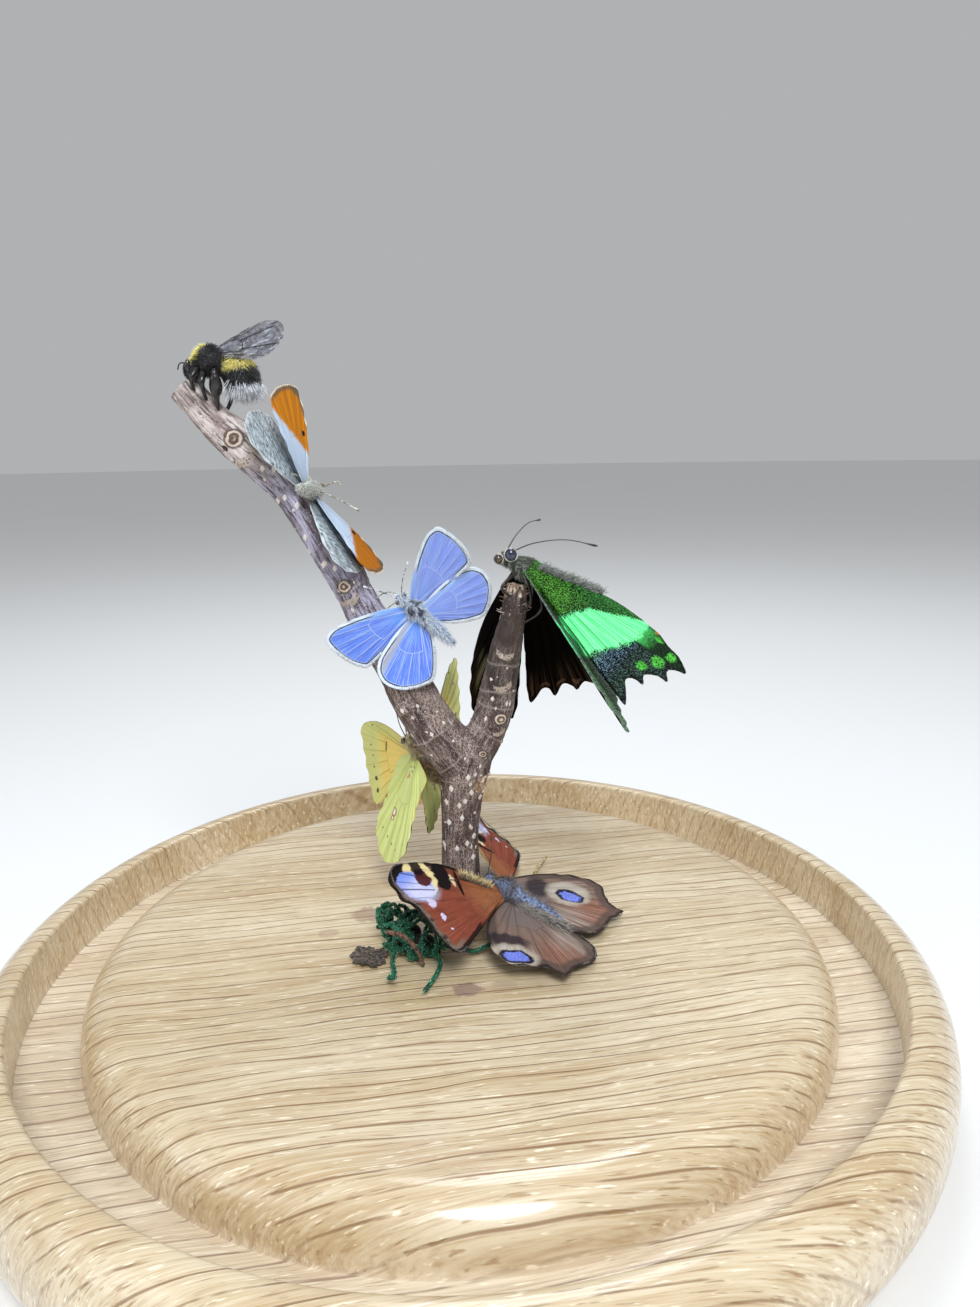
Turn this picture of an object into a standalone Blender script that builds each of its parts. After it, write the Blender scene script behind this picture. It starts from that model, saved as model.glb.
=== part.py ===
"""Six dried insects on a forked twig, on the turned oak base of a display dome.

The frame: +Z up, the origin on the underside at the middle of the base, the
viewer at -Y. Lengths are written in millimetres and turned into metres by MM.
"""
import math

import bmesh
import bpy
from mathutils import Matrix, Vector

MM = 0.001
GAP = 0.3                      # clearance between pieces that touch

# ---- driving dimensions of the turned base ----
BASE_RADIUS = 91.6
RIM_TOP = 19.4
RIM_ROUND_CENTRE = (84.8, 11.0)   # radius and height of the centre of the outer round
RIM_ROUND = (6.8, 8.4)            # how far that round reaches out and up
FOOT_RADIUS = 84.0                # flat underside ends here
GROOVE_FLOOR = 9.0
GROOVE_OUTER = 83.3
GROOVE_INNER = 72.5
PLATEAU_TOP = 18.4
PLATEAU_ROUND = 7.3
BASE_SEGMENTS = 52

# ---- the twig: centre line (x, y, z) and radius at each growth step ----
TRUNK = [
    ((0.2, 9.0, PLATEAU_TOP + GAP), 5.4),
    ((0.1, 9.0, 21.0), 4.8),
    ((-0.2, 9.0, 25.5), 4.1),
    ((-0.1, 9.0, 34.5), 3.9),
    ((0.2, 9.0, 40.0), 4.1),
    ((0.6, 9.0, 45.0), 4.5),
    ((1.1, 9.0, 50.0), 5.3),
]
LEFT_BRANCH = [
    ((2.6, 9.0, 47.4), 4.6),
    ((0.6, 9.0, 50.6), 5.1),
    ((-1.6, 9.0, 53.6), 5.2),
    ((-4.4, 9.0, 57.2), 5.1),
    ((-6.8, 9.0, 61.2), 4.9),
    ((-9.3, 9.0, 65.9), 4.8),
    ((-11.4, 9.2, 70.9), 4.7),
    ((-16.5, 9.5, 79.5), 4.2),
    ((-19.6, 9.7, 85.7), 3.6),
    ((-21.6, 9.8, 90.1), 3.9),
    ((-24.3, 10.0, 94.5), 3.6),
    ((-27.9, 10.2, 100.7), 3.5),
    ((-31.4, 10.4, 106.1), 3.4),
    ((-36.4, 10.6, 111.4), 3.6),
    ((-41.0, 10.8, 115.9), 3.9),
    ((-45.2, 10.9, 119.8), 3.3),
    ((-50.4, 11.0, 126.0), 3.1),
]
RIGHT_BRANCH = [
    ((0.8, 9.0, 48.4), 3.8),
    ((4.0, 9.0, 54.0), 4.1),
    ((6.4, 9.0, 58.5), 3.9),
    ((7.9, 9.0, 63.7), 3.8),
    ((8.9, 9.0, 69.0), 3.4),
    ((10.0, 9.0, 74.1), 3.2),
    ((11.1, 9.0, 79.2), 2.7),
    ((11.9, 9.0, 84.3), 2.4),
    ((12.4, 9.0, 87.8), 1.8),
]
FORK_CUTTER_RADIUS = 9.0
LEFT_BUDS = [                      # short buds on the left branch: foot, tip, radius
    ((-8.2, 6.2, 63.6), (-11.9, 3.6, 63.4), 1.5),
    ((-41.0, 8.6, 116.4), (-40.6, 6.3, 115.8), 1.7),
    ((-21.2, 8.6, 88.6), (-21.2, 5.5, 88.0), 1.6),
]
RIGHT_BUDS = [((6.8, 6.4, 59.4), (7.1, 4.9, 60.0), 1.5)]
BUD_TAPER = 0.75

# ---- wings ----
# An outline's x points from the base to the tip. Its y points to the front edge,
# and on the green hindwings to the edge beside the body.
WING_THICKNESS = 0.6
ORANGE_FOREWING = [
    (0, 0.8), (4, 1.8), (9, 2.8), (14, 2.8), (18, 2.0), (20.4, 0.6), (20.8, -1.0), (19.6, -4.2),
    (17.2, -8.0), (14.6, -10.4), (12.5, -11.0), (8, -8.6), (4, -5.2), (0.6, -2.0),
]
ORANGE_HINDWING = [
    (0, 1.0), (4, 3.0), (9, 3.5), (13, 2.7), (15.3, 0.6), (16.0, -2.5), (15.2, -6.4), (13.0, -9.6),
    (10, -11.6), (6.8, -11.8), (4, -9.8), (2, -6.5), (0, -2.2),
]
BLUE_FOREWING = [
    (0, 0.8), (3.4, 1.5), (7, 1.9), (11, 2.0), (14.5, 1.7), (16.4, 0.6), (16.6, -0.8), (15.4, -3.6),
    (13.6, -6.2), (11.6, -7.9), (10.2, -8.2), (7, -6.7), (3.5, -4.6), (0.4, -2.2),
]
BLUE_HINDWING = [
    (0, 1.0), (4, 2.3), (8.5, 2.9), (10.6, 2.8), (12.4, 2.0), (13.6, 0.4), (13.9, -1.4),
    (13.5, -3.8), (12.2, -6.0), (10.8, -7.5), (9, -8.6), (6.3, -7.8), (3.5, -6.2), (1, -4.2),
    (-0.4, -1.6),
]
YELLOW_FOREWING = [
    (0, 1.0), (6, 2.4), (12, 3.2), (18, 3.1), (23, 2.0), (26.2, 0.4), (26.2, -2.2), (24.4, -7.0),
    (22, -11.4), (19.4, -15.0), (17.0, -16.2), (11, -12.2), (5.5, -7.2), (0.4, -2.6),
]
YELLOW_HINDWING = [
    (0, 2.0), (2.8, 5.9), (7.3, 7.1), (14.4, 8.1), (18.5, 9.0), (21.2, 8.2), (24.0, 5.5),
    (25.2, 2.6), (24.7, -0.1), (22.6, -3.8), (19.4, -6.3), (15.9, -6.6), (6.9, -6.9), (3.3, -8.1),
    (1.7, -7.8), (0.2, -2.6),
]
GREEN_FOREWING = [
    (0, 1.4), (9, 3.6), (18, 5.0), (27, 4.8), (34, 2.8), (37.6, 0.6), (38.0, -1.6), (35.0, -5.4),
    (31.0, -8.8), (27.0, -12.6), (24.0, -16.0), (16, -12.6), (8, -8.0), (0.2, -3.0),
]
GREEN_HINDWING = [
    (0, 2.0), (6.9, 3.2), (16.8, 4.9), (22.4, 5.0), (27.4, 4.5), (33.8, 2.4), (36.6, 0.6),
    (34.6, -0.6), (35.0, -3.6), (31.8, -4.6), (31.9, -7.4), (29.4, -7.6), (31.8, -13.0),
    (28.4, -12.0), (22.0, -9.8), (13.3, -6.8), (7.6, -4.6), (0.4, -2.4),
]
FAR_GREEN_FOREWING = [
    (0, 1.4), (9.5, 4.0), (19, 5.8), (29, 6.0), (36.4, 4.2), (41.2, 1.6), (42.6, -0.8),
    (40.2, -4.6), (36.4, -8.8), (31.4, -12.6), (27.6, -14.6), (18, -11.4), (8.6, -7.2), (0.2, -3.0),
]
FAR_GREEN_HINDWING = [
    (0, 2.0), (7.4, 3.4), (18, 5.2), (24, 5.3), (29.4, 4.8), (36, 2.6), (38.6, 0.4), (36.8, -1.6),
    (37.4, -4.4), (34.6, -5.8), (35.6, -9.4), (32.8, -10.0), (34.6, -15.0), (30.6, -14.2),
    (23.6, -11.4), (14.2, -7.8), (8.0, -5.2), (0.4, -2.4),
]
PEACOCK_FOREWING = [
    (0, 1.0), (5, 2.8), (12, 4.4), (19, 4.2), (25, 2.8), (28.2, 0.6), (28.8, -2.6), (27.4, -6.0),
    (24.8, -8.0), (23.4, -11.4), (22.2, -14.6), (20.0, -17.0), (17.6, -16.6), (11, -11.0),
    (5, -6.0), (0.4, -2.6),
]
PEACOCK_HINDWING = [
    (0, 1.8), (4.8, 4.0), (10.6, 4.7), (16.4, 3.7), (20.2, 1.6), (21.9, -1.4), (21.2, -4.4),
    (20.9, -7.7), (22.5, -10.8), (19.2, -12.3), (17.3, -14.4), (14.8, -16.5), (10.6, -16.5),
    (6.8, -13.4), (3.3, -8.6), (0, -3.0),
]

# Each wing is held by three points: its base, where its tip is, and a point on
# the side of its rear corner.
ORANGE_WINGS = [
    (ORANGE_FOREWING, (-27.6, 7.6, 106.9), (-30.1, 15.3, 126.0), (-31.7, 3.0, 121.7)),
    (ORANGE_HINDWING, (-28.6, 7.0, 106.9), (-35.9, 11.0, 121.4), (-35.4, -0.4, 116.2)),
    (ORANGE_FOREWING, (-26.2, 7.8, 105.4), (-14.3, 16.0, 90.5), (-18.5, -1.0, 94.5)),
    (ORANGE_HINDWING, (-27.1, 7.0, 104.6), (-17.7, 12.4, 92.0), (-20.5, 0.6, 92.4)),
]
BLUE_WINGS = [
    (BLUE_FOREWING, (-9.2, 3.9, 83.6), (-24.3, -1.2, 78.3), (-17.1, 2.2, 73.0)),
    (BLUE_HINDWING, (-7.6, 4.0, 81.6), (-13.2, 2.2, 68.6), (-4.6, 4.0, 69.2)),
    (BLUE_FOREWING, (-8.0, 4.0, 85.2), (-2.2, -1.9, 99.3), (2.3, 2.0, 92.4)),
    (BLUE_HINDWING, (-6.0, 3.8, 83.2), (6.7, 5.3, 90.0), (5.8, 7.6, 81.8)),
]
YELLOW_WINGS = [
    (YELLOW_FOREWING, (-10.0, 14.8, 51.2), (-22.2, 37.6, 50.0), (-18.2, 28.6, 33.0)),
    (YELLOW_HINDWING, (-9.3, 13.6, 50.6), (-16.2, 15.7, 26.3), (-6.9, 5.0, 42.6)),
    (YELLOW_FOREWING, (-6.0, 15.2, 51.3), (-0.7, 35.9, 66.5), (-0.4, 37.6, 48.0)),
    (YELLOW_HINDWING, (-6.8, 15.0, 49.6), (-5.6, 31.0, 30.0), (-8.0, 13.0, 41.0)),
]
GREEN_WINGS = [
    (GREEN_HINDWING, (14.6, 7.2, 91.2), (42.0, -7.0, 72.9), (30.1, -13.0, 69.0)),
    (GREEN_FOREWING, (13.9, 6.4, 89.8), (30.1, -17.0, 64.4), (28.3, 4.0, 68.6)),
    (FAR_GREEN_FOREWING, (12.6, 11.4, 89.4), (3.8, 33.9, 54.4), (12.4, 15.4, 58.5)),
    (FAR_GREEN_HINDWING, (15.0, 11.6, 89.6), (32.2, 30.6, 60.8), (17.1, 30.2, 56.6)),
]
PEACOCK_WINGS = [
    (PEACOCK_FOREWING, (8.0, 1.8, 25.0), (-13.2, -15.5, 36.6), (-1.7, -23.6, 26.6)),
    (PEACOCK_HINDWING, (10.4, 0.4, 22.8), (18.6, -24.0, 20.6), (25.4, -16.4, 19.6)),
    (PEACOCK_FOREWING, (9.0, 4.6, 25.0), (0.8, 33.6, 33.0), (13.4, 33.6, 20.6)),
    (PEACOCK_HINDWING, (8.8, 4.6, 24.4), (32.4, 0.2, 19.9), (26.0, -8.6, 20.4)),
]

# ---- bodies: centre line and radius of head, thorax and abdomen ----
ORANGE_BODY = [
    ((-25.6, 12.2, 106.5), 0.5), ((-25.7, 11.4, 106.5), 1.2), ((-26.0, 10.2, 106.4), 0.9),
    ((-26.6, 8.4, 106.3), 1.8), ((-27.2, 6.4, 106.4), 1.3), ((-28.2, 3.4, 106.8), 1.2),
    ((-29.0, 0.8, 107.1), 0.5),
]
BLUE_BODY = [
    ((-11.0, 3.2, 86.5), 0.4), ((-10.2, 3.3, 85.8), 1.1), ((-9.3, 3.5, 85.1), 0.9),
    ((-7.6, 3.8, 83.6), 1.8), ((-5.9, 4.2, 81.8), 1.3), ((-3.2, 4.5, 79.2), 1.3),
    ((-0.8, 4.8, 76.8), 0.5),
]
YELLOW_BODY = [
    ((-10.9, 13.6, 55.2), 0.5), ((-10.3, 13.7, 54.3), 1.3), ((-9.5, 14.0, 53.1), 1.1),
    ((-7.8, 14.6, 51.2), 2.3), ((-6.9, 14.6, 49.2), 1.6), ((-5.5, 14.6, 46.6), 1.4),
    ((-4.5, 14.6, 44.4), 0.6),
]
GREEN_BODY = [
    ((8.6, 8.2, 92.9), 0.7), ((9.8, 8.4, 92.7), 1.7), ((11.4, 8.8, 92.2), 1.4),
    ((14.2, 9.4, 91.0), 3.0), ((17.4, 9.4, 89.6), 2.1), ((22.4, 9.2, 88.2), 2.1),
    ((28.6, 9.0, 85.8), 0.7),
]
PEACOCK_BODY = [
    ((4.7, 4.3, 26.8), 0.6), ((5.6, 4.1, 26.4), 1.5), ((6.8, 3.8, 25.8), 1.2),
    ((9.2, 3.2, 24.6), 2.5), ((11.8, 1.6, 23.2), 1.8), ((16.0, -1.2, 21.8), 1.9),
    ((20.2, -4.4, 20.9), 0.7),
]

# ---- the bumblebee, its coat of hair included ----
BEE_LUMPS = [                      # centre, half length, half width, direction
    ((-47.9, 9.4, 129.0), 2.4, 1.9, (-0.3, 0.0, -1.0)),
    ((-44.6, 9.6, 130.6), 3.6, 3.3, (-0.8, 0.0, 0.2)),
    ((-37.8, 9.8, 126.8), 5.2, 4.0, (0.2, 0.0, -1.0)),
]
BEE_WAIST_RADIUS = 2.2
BEE_NECK_RADIUS = 1.4
BEE_WINGS = [                      # base, tip, rear side
    ((-43.0, 8.6, 131.8), (-29.8, 5.5, 135.2), (-31.6, 6.0, 131.9)),
    ((-43.0, 10.6, 132.0), (-33.0, 12.5, 135.9), (-31.0, 13.4, 133.2)),
]
BEE_WING = [
    (0, 0.6), (4, 1.3), (9, 1.7), (12, 1.0), (13, -0.6), (11.4, -2.8), (8, -3.7), (4, -2.8),
    (0, -0.8),
]
BEE_LEGS = [
    [(-46.0, 8.4, 129.6), (-47.6, 6.6, 126.6), (-48.8, 9.2, 125.4)],
    [(-44.6, 8.4, 129.4), (-44.6, 6.0, 125.2), (-46.2, 9.6, 122.4)],
    [(-43.0, 8.4, 129.4), (-41.6, 6.4, 124.6), (-43.2, 9.8, 119.6)],
    [(-45.8, 10.8, 129.6), (-47.2, 13.4, 126.8), (-48.4, 12.0, 125.0)],
    [(-44.4, 10.8, 129.4), (-44.8, 14.0, 125.0), (-46.2, 12.0, 122.2)],
    [(-43.2, 10.8, 129.4), (-41.6, 13.6, 124.4), (-43.2, 11.8, 119.4)],
]
BEE_LEG_RADIUS = 0.5
BEE_FEELERS = [
    [(-48.6, 8.6, 130.2), (-50.6, 7.8, 130.4), (-51.4, 7.4, 128.6)],
    [(-48.6, 10.2, 130.2), (-50.6, 11.0, 130.4), (-51.2, 11.4, 128.8)],
]
BEE_FEELER_RADIUS = 0.25

# ---- legs: hip, knee and foot, which ends at the surface that it holds ----
LEG_RADIUS = 0.35
ORANGE_LEGS = [
    [(-26.6, 9.6, 107.2), (-28.6, 11.6, 109.4), (-32.8, 10.6, 108.4)],
    [(-26.8, 8.2, 107.2), (-29.6, 7.0, 109.4), (-34.0, 9.8, 109.0)],
    [(-26.6, 9.6, 105.4), (-27.6, 11.8, 103.4), (-30.2, 10.4, 104.4)],
    [(-26.8, 8.2, 105.2), (-27.2, 7.2, 102.6), (-29.4, 10.0, 102.8)],
]
BLUE_LEGS = [
    [(-8.8, 4.6, 84.4), (-13.0, 7.4, 86.6), (-18.2, 9.4, 83.2)],
    [(-7.8, 4.8, 83.4), (-11.8, 8.6, 84.2), (-16.6, 9.4, 79.8)],
    [(-6.8, 5.0, 82.6), (-9.6, 9.4, 81.2), (-14.4, 9.4, 76.0)],
    [(-8.2, 5.0, 83.2), (-10.2, 7.8, 79.6), (-15.2, 9.2, 77.4)],
    [(-7.2, 5.0, 82.4), (-8.2, 8.0, 77.2), (-13.0, 9.2, 73.6)],
]
YELLOW_LEGS = [
    [(-9.2, 13.2, 52.4), (-8.8, 10.2, 54.4), (-4.2, 9.6, 55.6)],
    [(-8.4, 12.8, 51.4), (-6.2, 10.0, 51.6), (-1.2, 9.4, 53.0)],
    [(-7.8, 12.8, 50.2), (-5.0, 11.2, 48.4), (0.0, 9.6, 49.0)],
    [(-8.8, 13.8, 52.4), (-5.4, 15.4, 55.0), (-3.2, 10.2, 55.6)],
]
GREEN_LEGS = [
    [(13.2, 8.4, 90.4), (9.0, 5.0, 87.4), (12.0, 8.6, 84.4)],
    [(14.0, 8.2, 89.8), (14.6, 4.6, 84.4), (11.8, 8.4, 81.2)],
    [(15.0, 8.4, 89.4), (16.8, 5.4, 83.0), (11.4, 8.6, 78.4)],
    [(12.6, 10.8, 89.8), (10.0, 13.2, 86.6), (12.0, 9.4, 83.4)],
    [(14.4, 11.4, 88.8), (15.6, 13.6, 84.4), (11.8, 9.4, 80.4)],
]
PEACOCK_LEGS = [
    [(7.8, 3.0, 24.0), (4.2, 0.6, 23.6), (2.6, -1.4, 18.4)],
    [(9.4, 1.8, 23.0), (7.6, -1.8, 22.2), (7.2, -4.6, 18.4)],
    [(8.4, 4.6, 23.4), (6.4, 8.4, 23.6), (8.0, 11.6, 18.4)],
    [(10.2, 4.4, 22.8), (12.4, 7.4, 22.2), (13.8, 9.4, 18.4)],
    [(7.0, 3.6, 24.6), (4.6, 4.6, 22.6), (1.0, 8.4, 23.0)],
]

# ---- antennae: from the head to the club at the tip ----
ANTENNA_RADIUS = 0.28
ANTENNA_CLUB = 1.6                 # how much thicker the tip is
ORANGE_ANTENNAE = [
    [(-25.6, 11.6, 107.0), (-25.0, 13.2, 107.6), (-24.0, 14.0, 107.5), (-23.8, 14.2, 106.6)],
    [(-25.4, 11.6, 106.0), (-23.2, 14.6, 104.8), (-21.0, 17.2, 103.6)],
]
BLUE_ANTENNAE = [
    [(-10.3, 3.2, 86.2), (-9.8, 1.2, 89.8), (-8.6, -0.6, 93.4)],
    [(-10.8, 3.2, 85.8), (-13.8, 1.0, 87.6), (-17.0, -0.8, 89.0)],
]
YELLOW_ANTENNAE = [
    [(-11.0, 13.4, 54.8), (-12.2, 12.6, 58.0), (-12.8, 12.2, 61.4)],
    [(-10.8, 13.9, 54.8), (-11.4, 15.6, 58.0), (-11.8, 17.4, 61.0)],
]
GREEN_ANTENNAE = [
    [(10.6, 7.8, 93.6), (15.4, 6.8, 95.6), (21.6, 6.4, 96.2), (27.8, 6.2, 94.9)],
    [(10.2, 9.2, 93.8), (12.6, 13.0, 96.8), (15.4, 18.4, 98.6), (18.4, 23.6, 98.8)],
]
PEACOCK_ANTENNAE = [
    [(5.2, 3.4, 27.0), (1.4, -1.2, 29.2), (-3.0, -4.6, 31.0)],
    [(5.4, 4.8, 27.2), (6.4, 9.2, 29.8), (6.8, 14.0, 31.6)],
]

# ---- the dyed moss and the small dry bits at the foot of the twig ----
MOSS_LUMPS = [                     # centre and radius
    ((-13.6, -4.6, 22.6), 3.8), ((-9.6, -6.6, 22.0), 3.6), ((-12.6, -9.2, 21.6), 3.2),
    ((-6.0, -10.4, 20.8), 2.6), ((-9.4, -11.6, 20.4), 2.2), ((-14.6, -6.8, 25.2), 2.4),
]
MOSS_STRANDS = [
    [(-12.6, -10.0, 20.6), (-13.4, -14.0, 19.8), (-12.8, -18.2, 19.8), (-13.6, -20.6, 20.4),
     (-12.2, -21.4, 21.0)],
    [(-6.0, -11.6, 20.0), (-4.4, -15.6, 19.8), (-5.4, -20.0, 19.7), (-7.0, -24.0, 19.8)],
    [(-5.6, -10.6, 20.6), (-1.0, -10.4, 20.0), (2.0, -11.8, 19.8), (5.2, -10.6, 20.4)],
]
MOSS_STRAND_RADIUS = 0.8
BENT_TWIG = [(-14.4, -14.2, 25.8), (-11.4, -15.0, 25.4), (-8.8, -15.4, 22.8), (-7.6, -15.0, 19.2)]
BENT_TWIG_RADIUS = 0.45
SCRAP = [(-21.4, -11.6), (-19.4, -13.8), (-16.2, -14.6), (-15.0, -12.6), (-16.6, -8.6), (-19.6, -8.2)]
SCRAP_TOP = 19.7
GRASS_BIT = [(16.6, 20.6, 19.1), (18.0, 22.6, 20.2), (19.8, 25.0, 21.2)]
GRASS_BIT_RADIUS = 0.4


def vector(point):
    """A point in millimetres as a vector in metres."""
    return Vector(point) * MM


def material(name, colour, roughness, metallic=0.0):
    """A Principled material in one colour."""
    mat = bpy.data.materials.new(name)
    mat.use_nodes = True
    shader = mat.node_tree.nodes["Principled BSDF"]
    shader.inputs["Base Color"].default_value = (*colour, 1.0)
    shader.inputs["Roughness"].default_value = roughness
    shader.inputs["Metallic"].default_value = metallic
    return mat


def add_object(name, mesh, collection, mat=None):
    """Links a mesh to the scene as one named object, round faces smooth."""
    mesh.shade_smooth()
    mesh.set_sharp_from_angle(angle=math.radians(35))
    obj = bpy.data.objects.new(name, mesh)
    collection.objects.link(obj)
    if mat:
        mesh.materials.append(mat)
    return obj


def new_collection(name):
    collection = bpy.data.collections.new(name)
    bpy.context.scene.collection.children.link(collection)
    return collection


def mesh_from(name, bm):
    bmesh.ops.recalc_face_normals(bm, faces=bm.faces)
    mesh = bpy.data.meshes.new(name)
    bm.to_mesh(mesh)
    bm.free()
    return mesh


def through(points, steps):
    """Points, or stations of point and radius, of a smooth curve, steps to a span."""
    pts = [Vector(p) for p in points]
    ends = [pts[0] * 2 - pts[1]] + pts + [pts[-1] * 2 - pts[-2]]
    curve = []
    for a, b, c, d in zip(ends, ends[1:], ends[2:], ends[3:]):
        for i in range(steps):
            t = i / steps
            curve.append(0.5 * (2 * b + (c - a) * t + (2 * a - 5 * b + 4 * c - d) * t * t
                                + (3 * b - a - 3 * c + d) * t ** 3))
    return curve + [pts[-1]]


def tube_mesh(name, points, radii, sides):
    """A capped tube along the points, with its own radius at each of them."""
    curve = bpy.data.curves.new(name, "CURVE")
    curve.dimensions = "3D"
    curve.bevel_depth = MM
    curve.bevel_resolution = (sides - 4) // 2
    curve.use_fill_caps = True
    spline = curve.splines.new("POLY")
    spline.points.add(len(points) - 1)
    for spot, point, radius in zip(spline.points, points, radii):
        spot.co = (*vector(point), 1.0)
        spot.radius = radius
    holder = bpy.data.objects.new(name, curve)
    mesh = bpy.data.meshes.new_from_object(holder)
    bpy.data.objects.remove(holder)
    bm = bmesh.new()
    bm.from_mesh(mesh)
    bmesh.ops.remove_doubles(bm, verts=bm.verts, dist=0.00001)
    return mesh_from(name, bm)


def stem_mesh(name, stations, sides, extra=0.0):
    """A stem through (point, radius) stations, thicker all round by extra."""
    points = [point for point, _ in stations]
    radii = [radius + extra for _, radius in stations]
    return tube_mesh(name, points, radii, sides)


def ellipsoid_mesh(name, centre, half_length, half_width, direction, segments=10, rings=7):
    turn = Vector(direction).to_track_quat("Z", "Y").to_matrix().to_4x4()
    size = Matrix.Diagonal((half_width * MM, half_width * MM, half_length * MM, 1.0))
    place = Matrix.Translation(vector(centre)) @ turn @ size
    bm = bmesh.new()
    bmesh.ops.create_uvsphere(bm, u_segments=segments, v_segments=rings, radius=1.0, matrix=place)
    return mesh_from(name, bm)


def wing_mesh(name, outline, base, tip, rear):
    """A flat wing: the outline laid in the plane of base, tip and rear corner."""
    base, tip, rear = Vector(base), Vector(tip), Vector(rear)
    along = (tip - base).normalized()
    normal = along.cross(rear - base).normalized()
    front = along.cross(normal)
    far_x, far_y = max(outline)
    angle = math.atan2(far_y, far_x)
    cosine = math.cos(angle)
    sine = math.sin(angle)
    half = normal * WING_THICKNESS / 2
    bm = bmesh.new()
    verts = []
    for x, y in outline:
        spot = base + along * (x * cosine + y * sine) + front * (y * cosine - x * sine)
        verts.append(bm.verts.new((spot - half) * MM))
    face = bm.faces.new(verts)
    moved = bmesh.ops.extrude_face_region(bm, geom=[face])["geom"]
    raised = [v for v in moved if isinstance(v, bmesh.types.BMVert)]
    bmesh.ops.translate(bm, verts=raised, vec=half * 2 * MM)
    return mesh_from(name, bm)


def hide(obj):
    """Marks a cutter or a part of a fused piece."""
    obj.hide_render = True
    obj.display_type = "WIRE"


def boolean(obj, collection, operation):
    step = obj.modifiers.new(operation.title(), "BOOLEAN")
    step.operation = operation
    step.operand_type = "COLLECTION"
    step.collection = collection
    step.solver = "EXACT"


def fuse(name, first, others, mat, cutters=None):
    """One solid from the first mesh and the others, cut clear of the cutters."""
    obj = add_object(name, first, PIECES, mat)
    parts = new_collection(name + "_parts")
    for mesh in others:
        hide(add_object(mesh.name, mesh, parts))
    boolean(obj, parts, "UNION")
    if cutters:
        boolean(obj, cutters, "DIFFERENCE")
    return obj


def limb_meshes(name, limbs, radius, club=1.0, steps=1):
    """Thin legs or antennae, thicker by club at the tip."""
    meshes = []
    for number, points in enumerate(limbs):
        route = through(points, steps)
        radii = [radius] * (len(route) - 1) + [radius * club]
        meshes.append(tube_mesh(f"{name}_{number}", route, radii, 6))
    return meshes


def arc(centre, reach_out, reach_up, start, end, steps):
    """Points of an elliptic arc in the profile plane, angles in degrees."""
    points = []
    for i in range(steps + 1):
        angle = math.radians(start + (end - start) * i / steps)
        points.append((centre[0] + reach_out * math.cos(angle), centre[1] + reach_up * math.sin(angle)))
    return points


def build_base():
    """The turned base: a bullnose rim, the groove for the dome, and the plateau."""
    profile = [(0.0, 0.0), (FOOT_RADIUS, 0.0)]
    profile += arc((FOOT_RADIUS, 8.6), BASE_RADIUS - FOOT_RADIUS, 8.6, -66, 0, 3)
    profile += arc(RIM_ROUND_CENTRE, RIM_ROUND[0], RIM_ROUND[1], 20, 90, 4)
    profile += [(GROOVE_OUTER + 0.4, RIM_TOP - 0.5), (GROOVE_OUTER, RIM_TOP - 1.6)]
    profile += [(GROOVE_OUTER, GROOVE_FLOOR), (GROOVE_INNER, GROOVE_FLOOR)]
    round_centre = (GROOVE_INNER - PLATEAU_ROUND, PLATEAU_TOP - PLATEAU_ROUND)
    profile += arc(round_centre, PLATEAU_ROUND, PLATEAU_ROUND, 0, 90, 4)
    profile += [(0.0, PLATEAU_TOP)]
    bm = bmesh.new()
    verts = [bm.verts.new((radius * MM, 0.0, height * MM)) for radius, height in profile]
    edges = [bm.edges.new(pair) for pair in zip(verts, verts[1:])]
    bmesh.ops.spin(bm, geom=verts + edges, cent=(0, 0, 0), axis=(0, 0, 1), steps=BASE_SEGMENTS,
                   angle=math.tau, use_merge=True)
    bmesh.ops.remove_doubles(bm, verts=bm.verts, dist=0.00001)
    oak = material("oiled_oak", (0.56, 0.36, 0.17), 0.38)
    return add_object("oak_base", mesh_from("oak_base", bm), PIECES, oak)


def build_clearance():
    """Cutters that keep what sits on the plateau and on the twig a gap away."""
    bm = bmesh.new()
    middle = vector((0, 0, (PLATEAU_TOP + GAP) / 2))
    size = vector((2 * GROOVE_INNER, 2 * GROOVE_INNER, PLATEAU_TOP + GAP))
    slab = Matrix.Translation(middle) @ Matrix.Diagonal((*size, 1))
    bmesh.ops.create_cube(bm, size=1.0, matrix=slab)
    hide(add_object("plateau_clearance", mesh_from("plateau_clearance", bm), CLEARANCE))
    for name, stem in (("trunk", TRUNK), ("left", LEFT_BRANCH), ("right", RIGHT_BRANCH)):
        mesh = stem_mesh(name + "_clearance", stem, 12, GAP)
        hide(add_object(mesh.name, mesh, CLEARANCE))


def bud_meshes(name, buds):
    """Short tapered buds, each from its foot in the branch to its tip."""
    meshes = []
    for number, (foot, tip, radius) in enumerate(buds):
        meshes.append(tube_mesh(f"{name}_{number}", [foot, tip], [radius, radius * BUD_TAPER], 8))
    return meshes


def build_twig():
    """The forked twig, parted at its fork: trunk, left branch and right branch."""
    bark = material("bark", (0.27, 0.19, 0.15), 0.85)
    add_object("branch_trunk", stem_mesh("branch_trunk", TRUNK, 12), PIECES, bark)
    below_fork = new_collection("below_fork")
    beside_fork = new_collection("beside_fork")
    top = Vector(TRUNK[-1][0]) + Vector((0, 0, GAP))
    cap = [(point, FORK_CUTTER_RADIUS) for point in (TRUNK[-4][0], TRUNK[-2][0], top)]
    hide(add_object("trunk_cap", stem_mesh("trunk_cap", cap, 12), below_fork))
    hide(add_object("left_foot", stem_mesh("left_foot", LEFT_BRANCH, 12, GAP), beside_fork))
    left = stem_mesh("branch_left", LEFT_BRANCH, 12)
    fuse("branch_left", left, bud_meshes("left_bud", LEFT_BUDS), bark, below_fork)
    right = stem_mesh("branch_right", RIGHT_BRANCH, 12)
    tip = fuse("branch_right", right, bud_meshes("right_bud", RIGHT_BUDS), bark, below_fork)
    boolean(tip, beside_fork, "DIFFERENCE")


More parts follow.
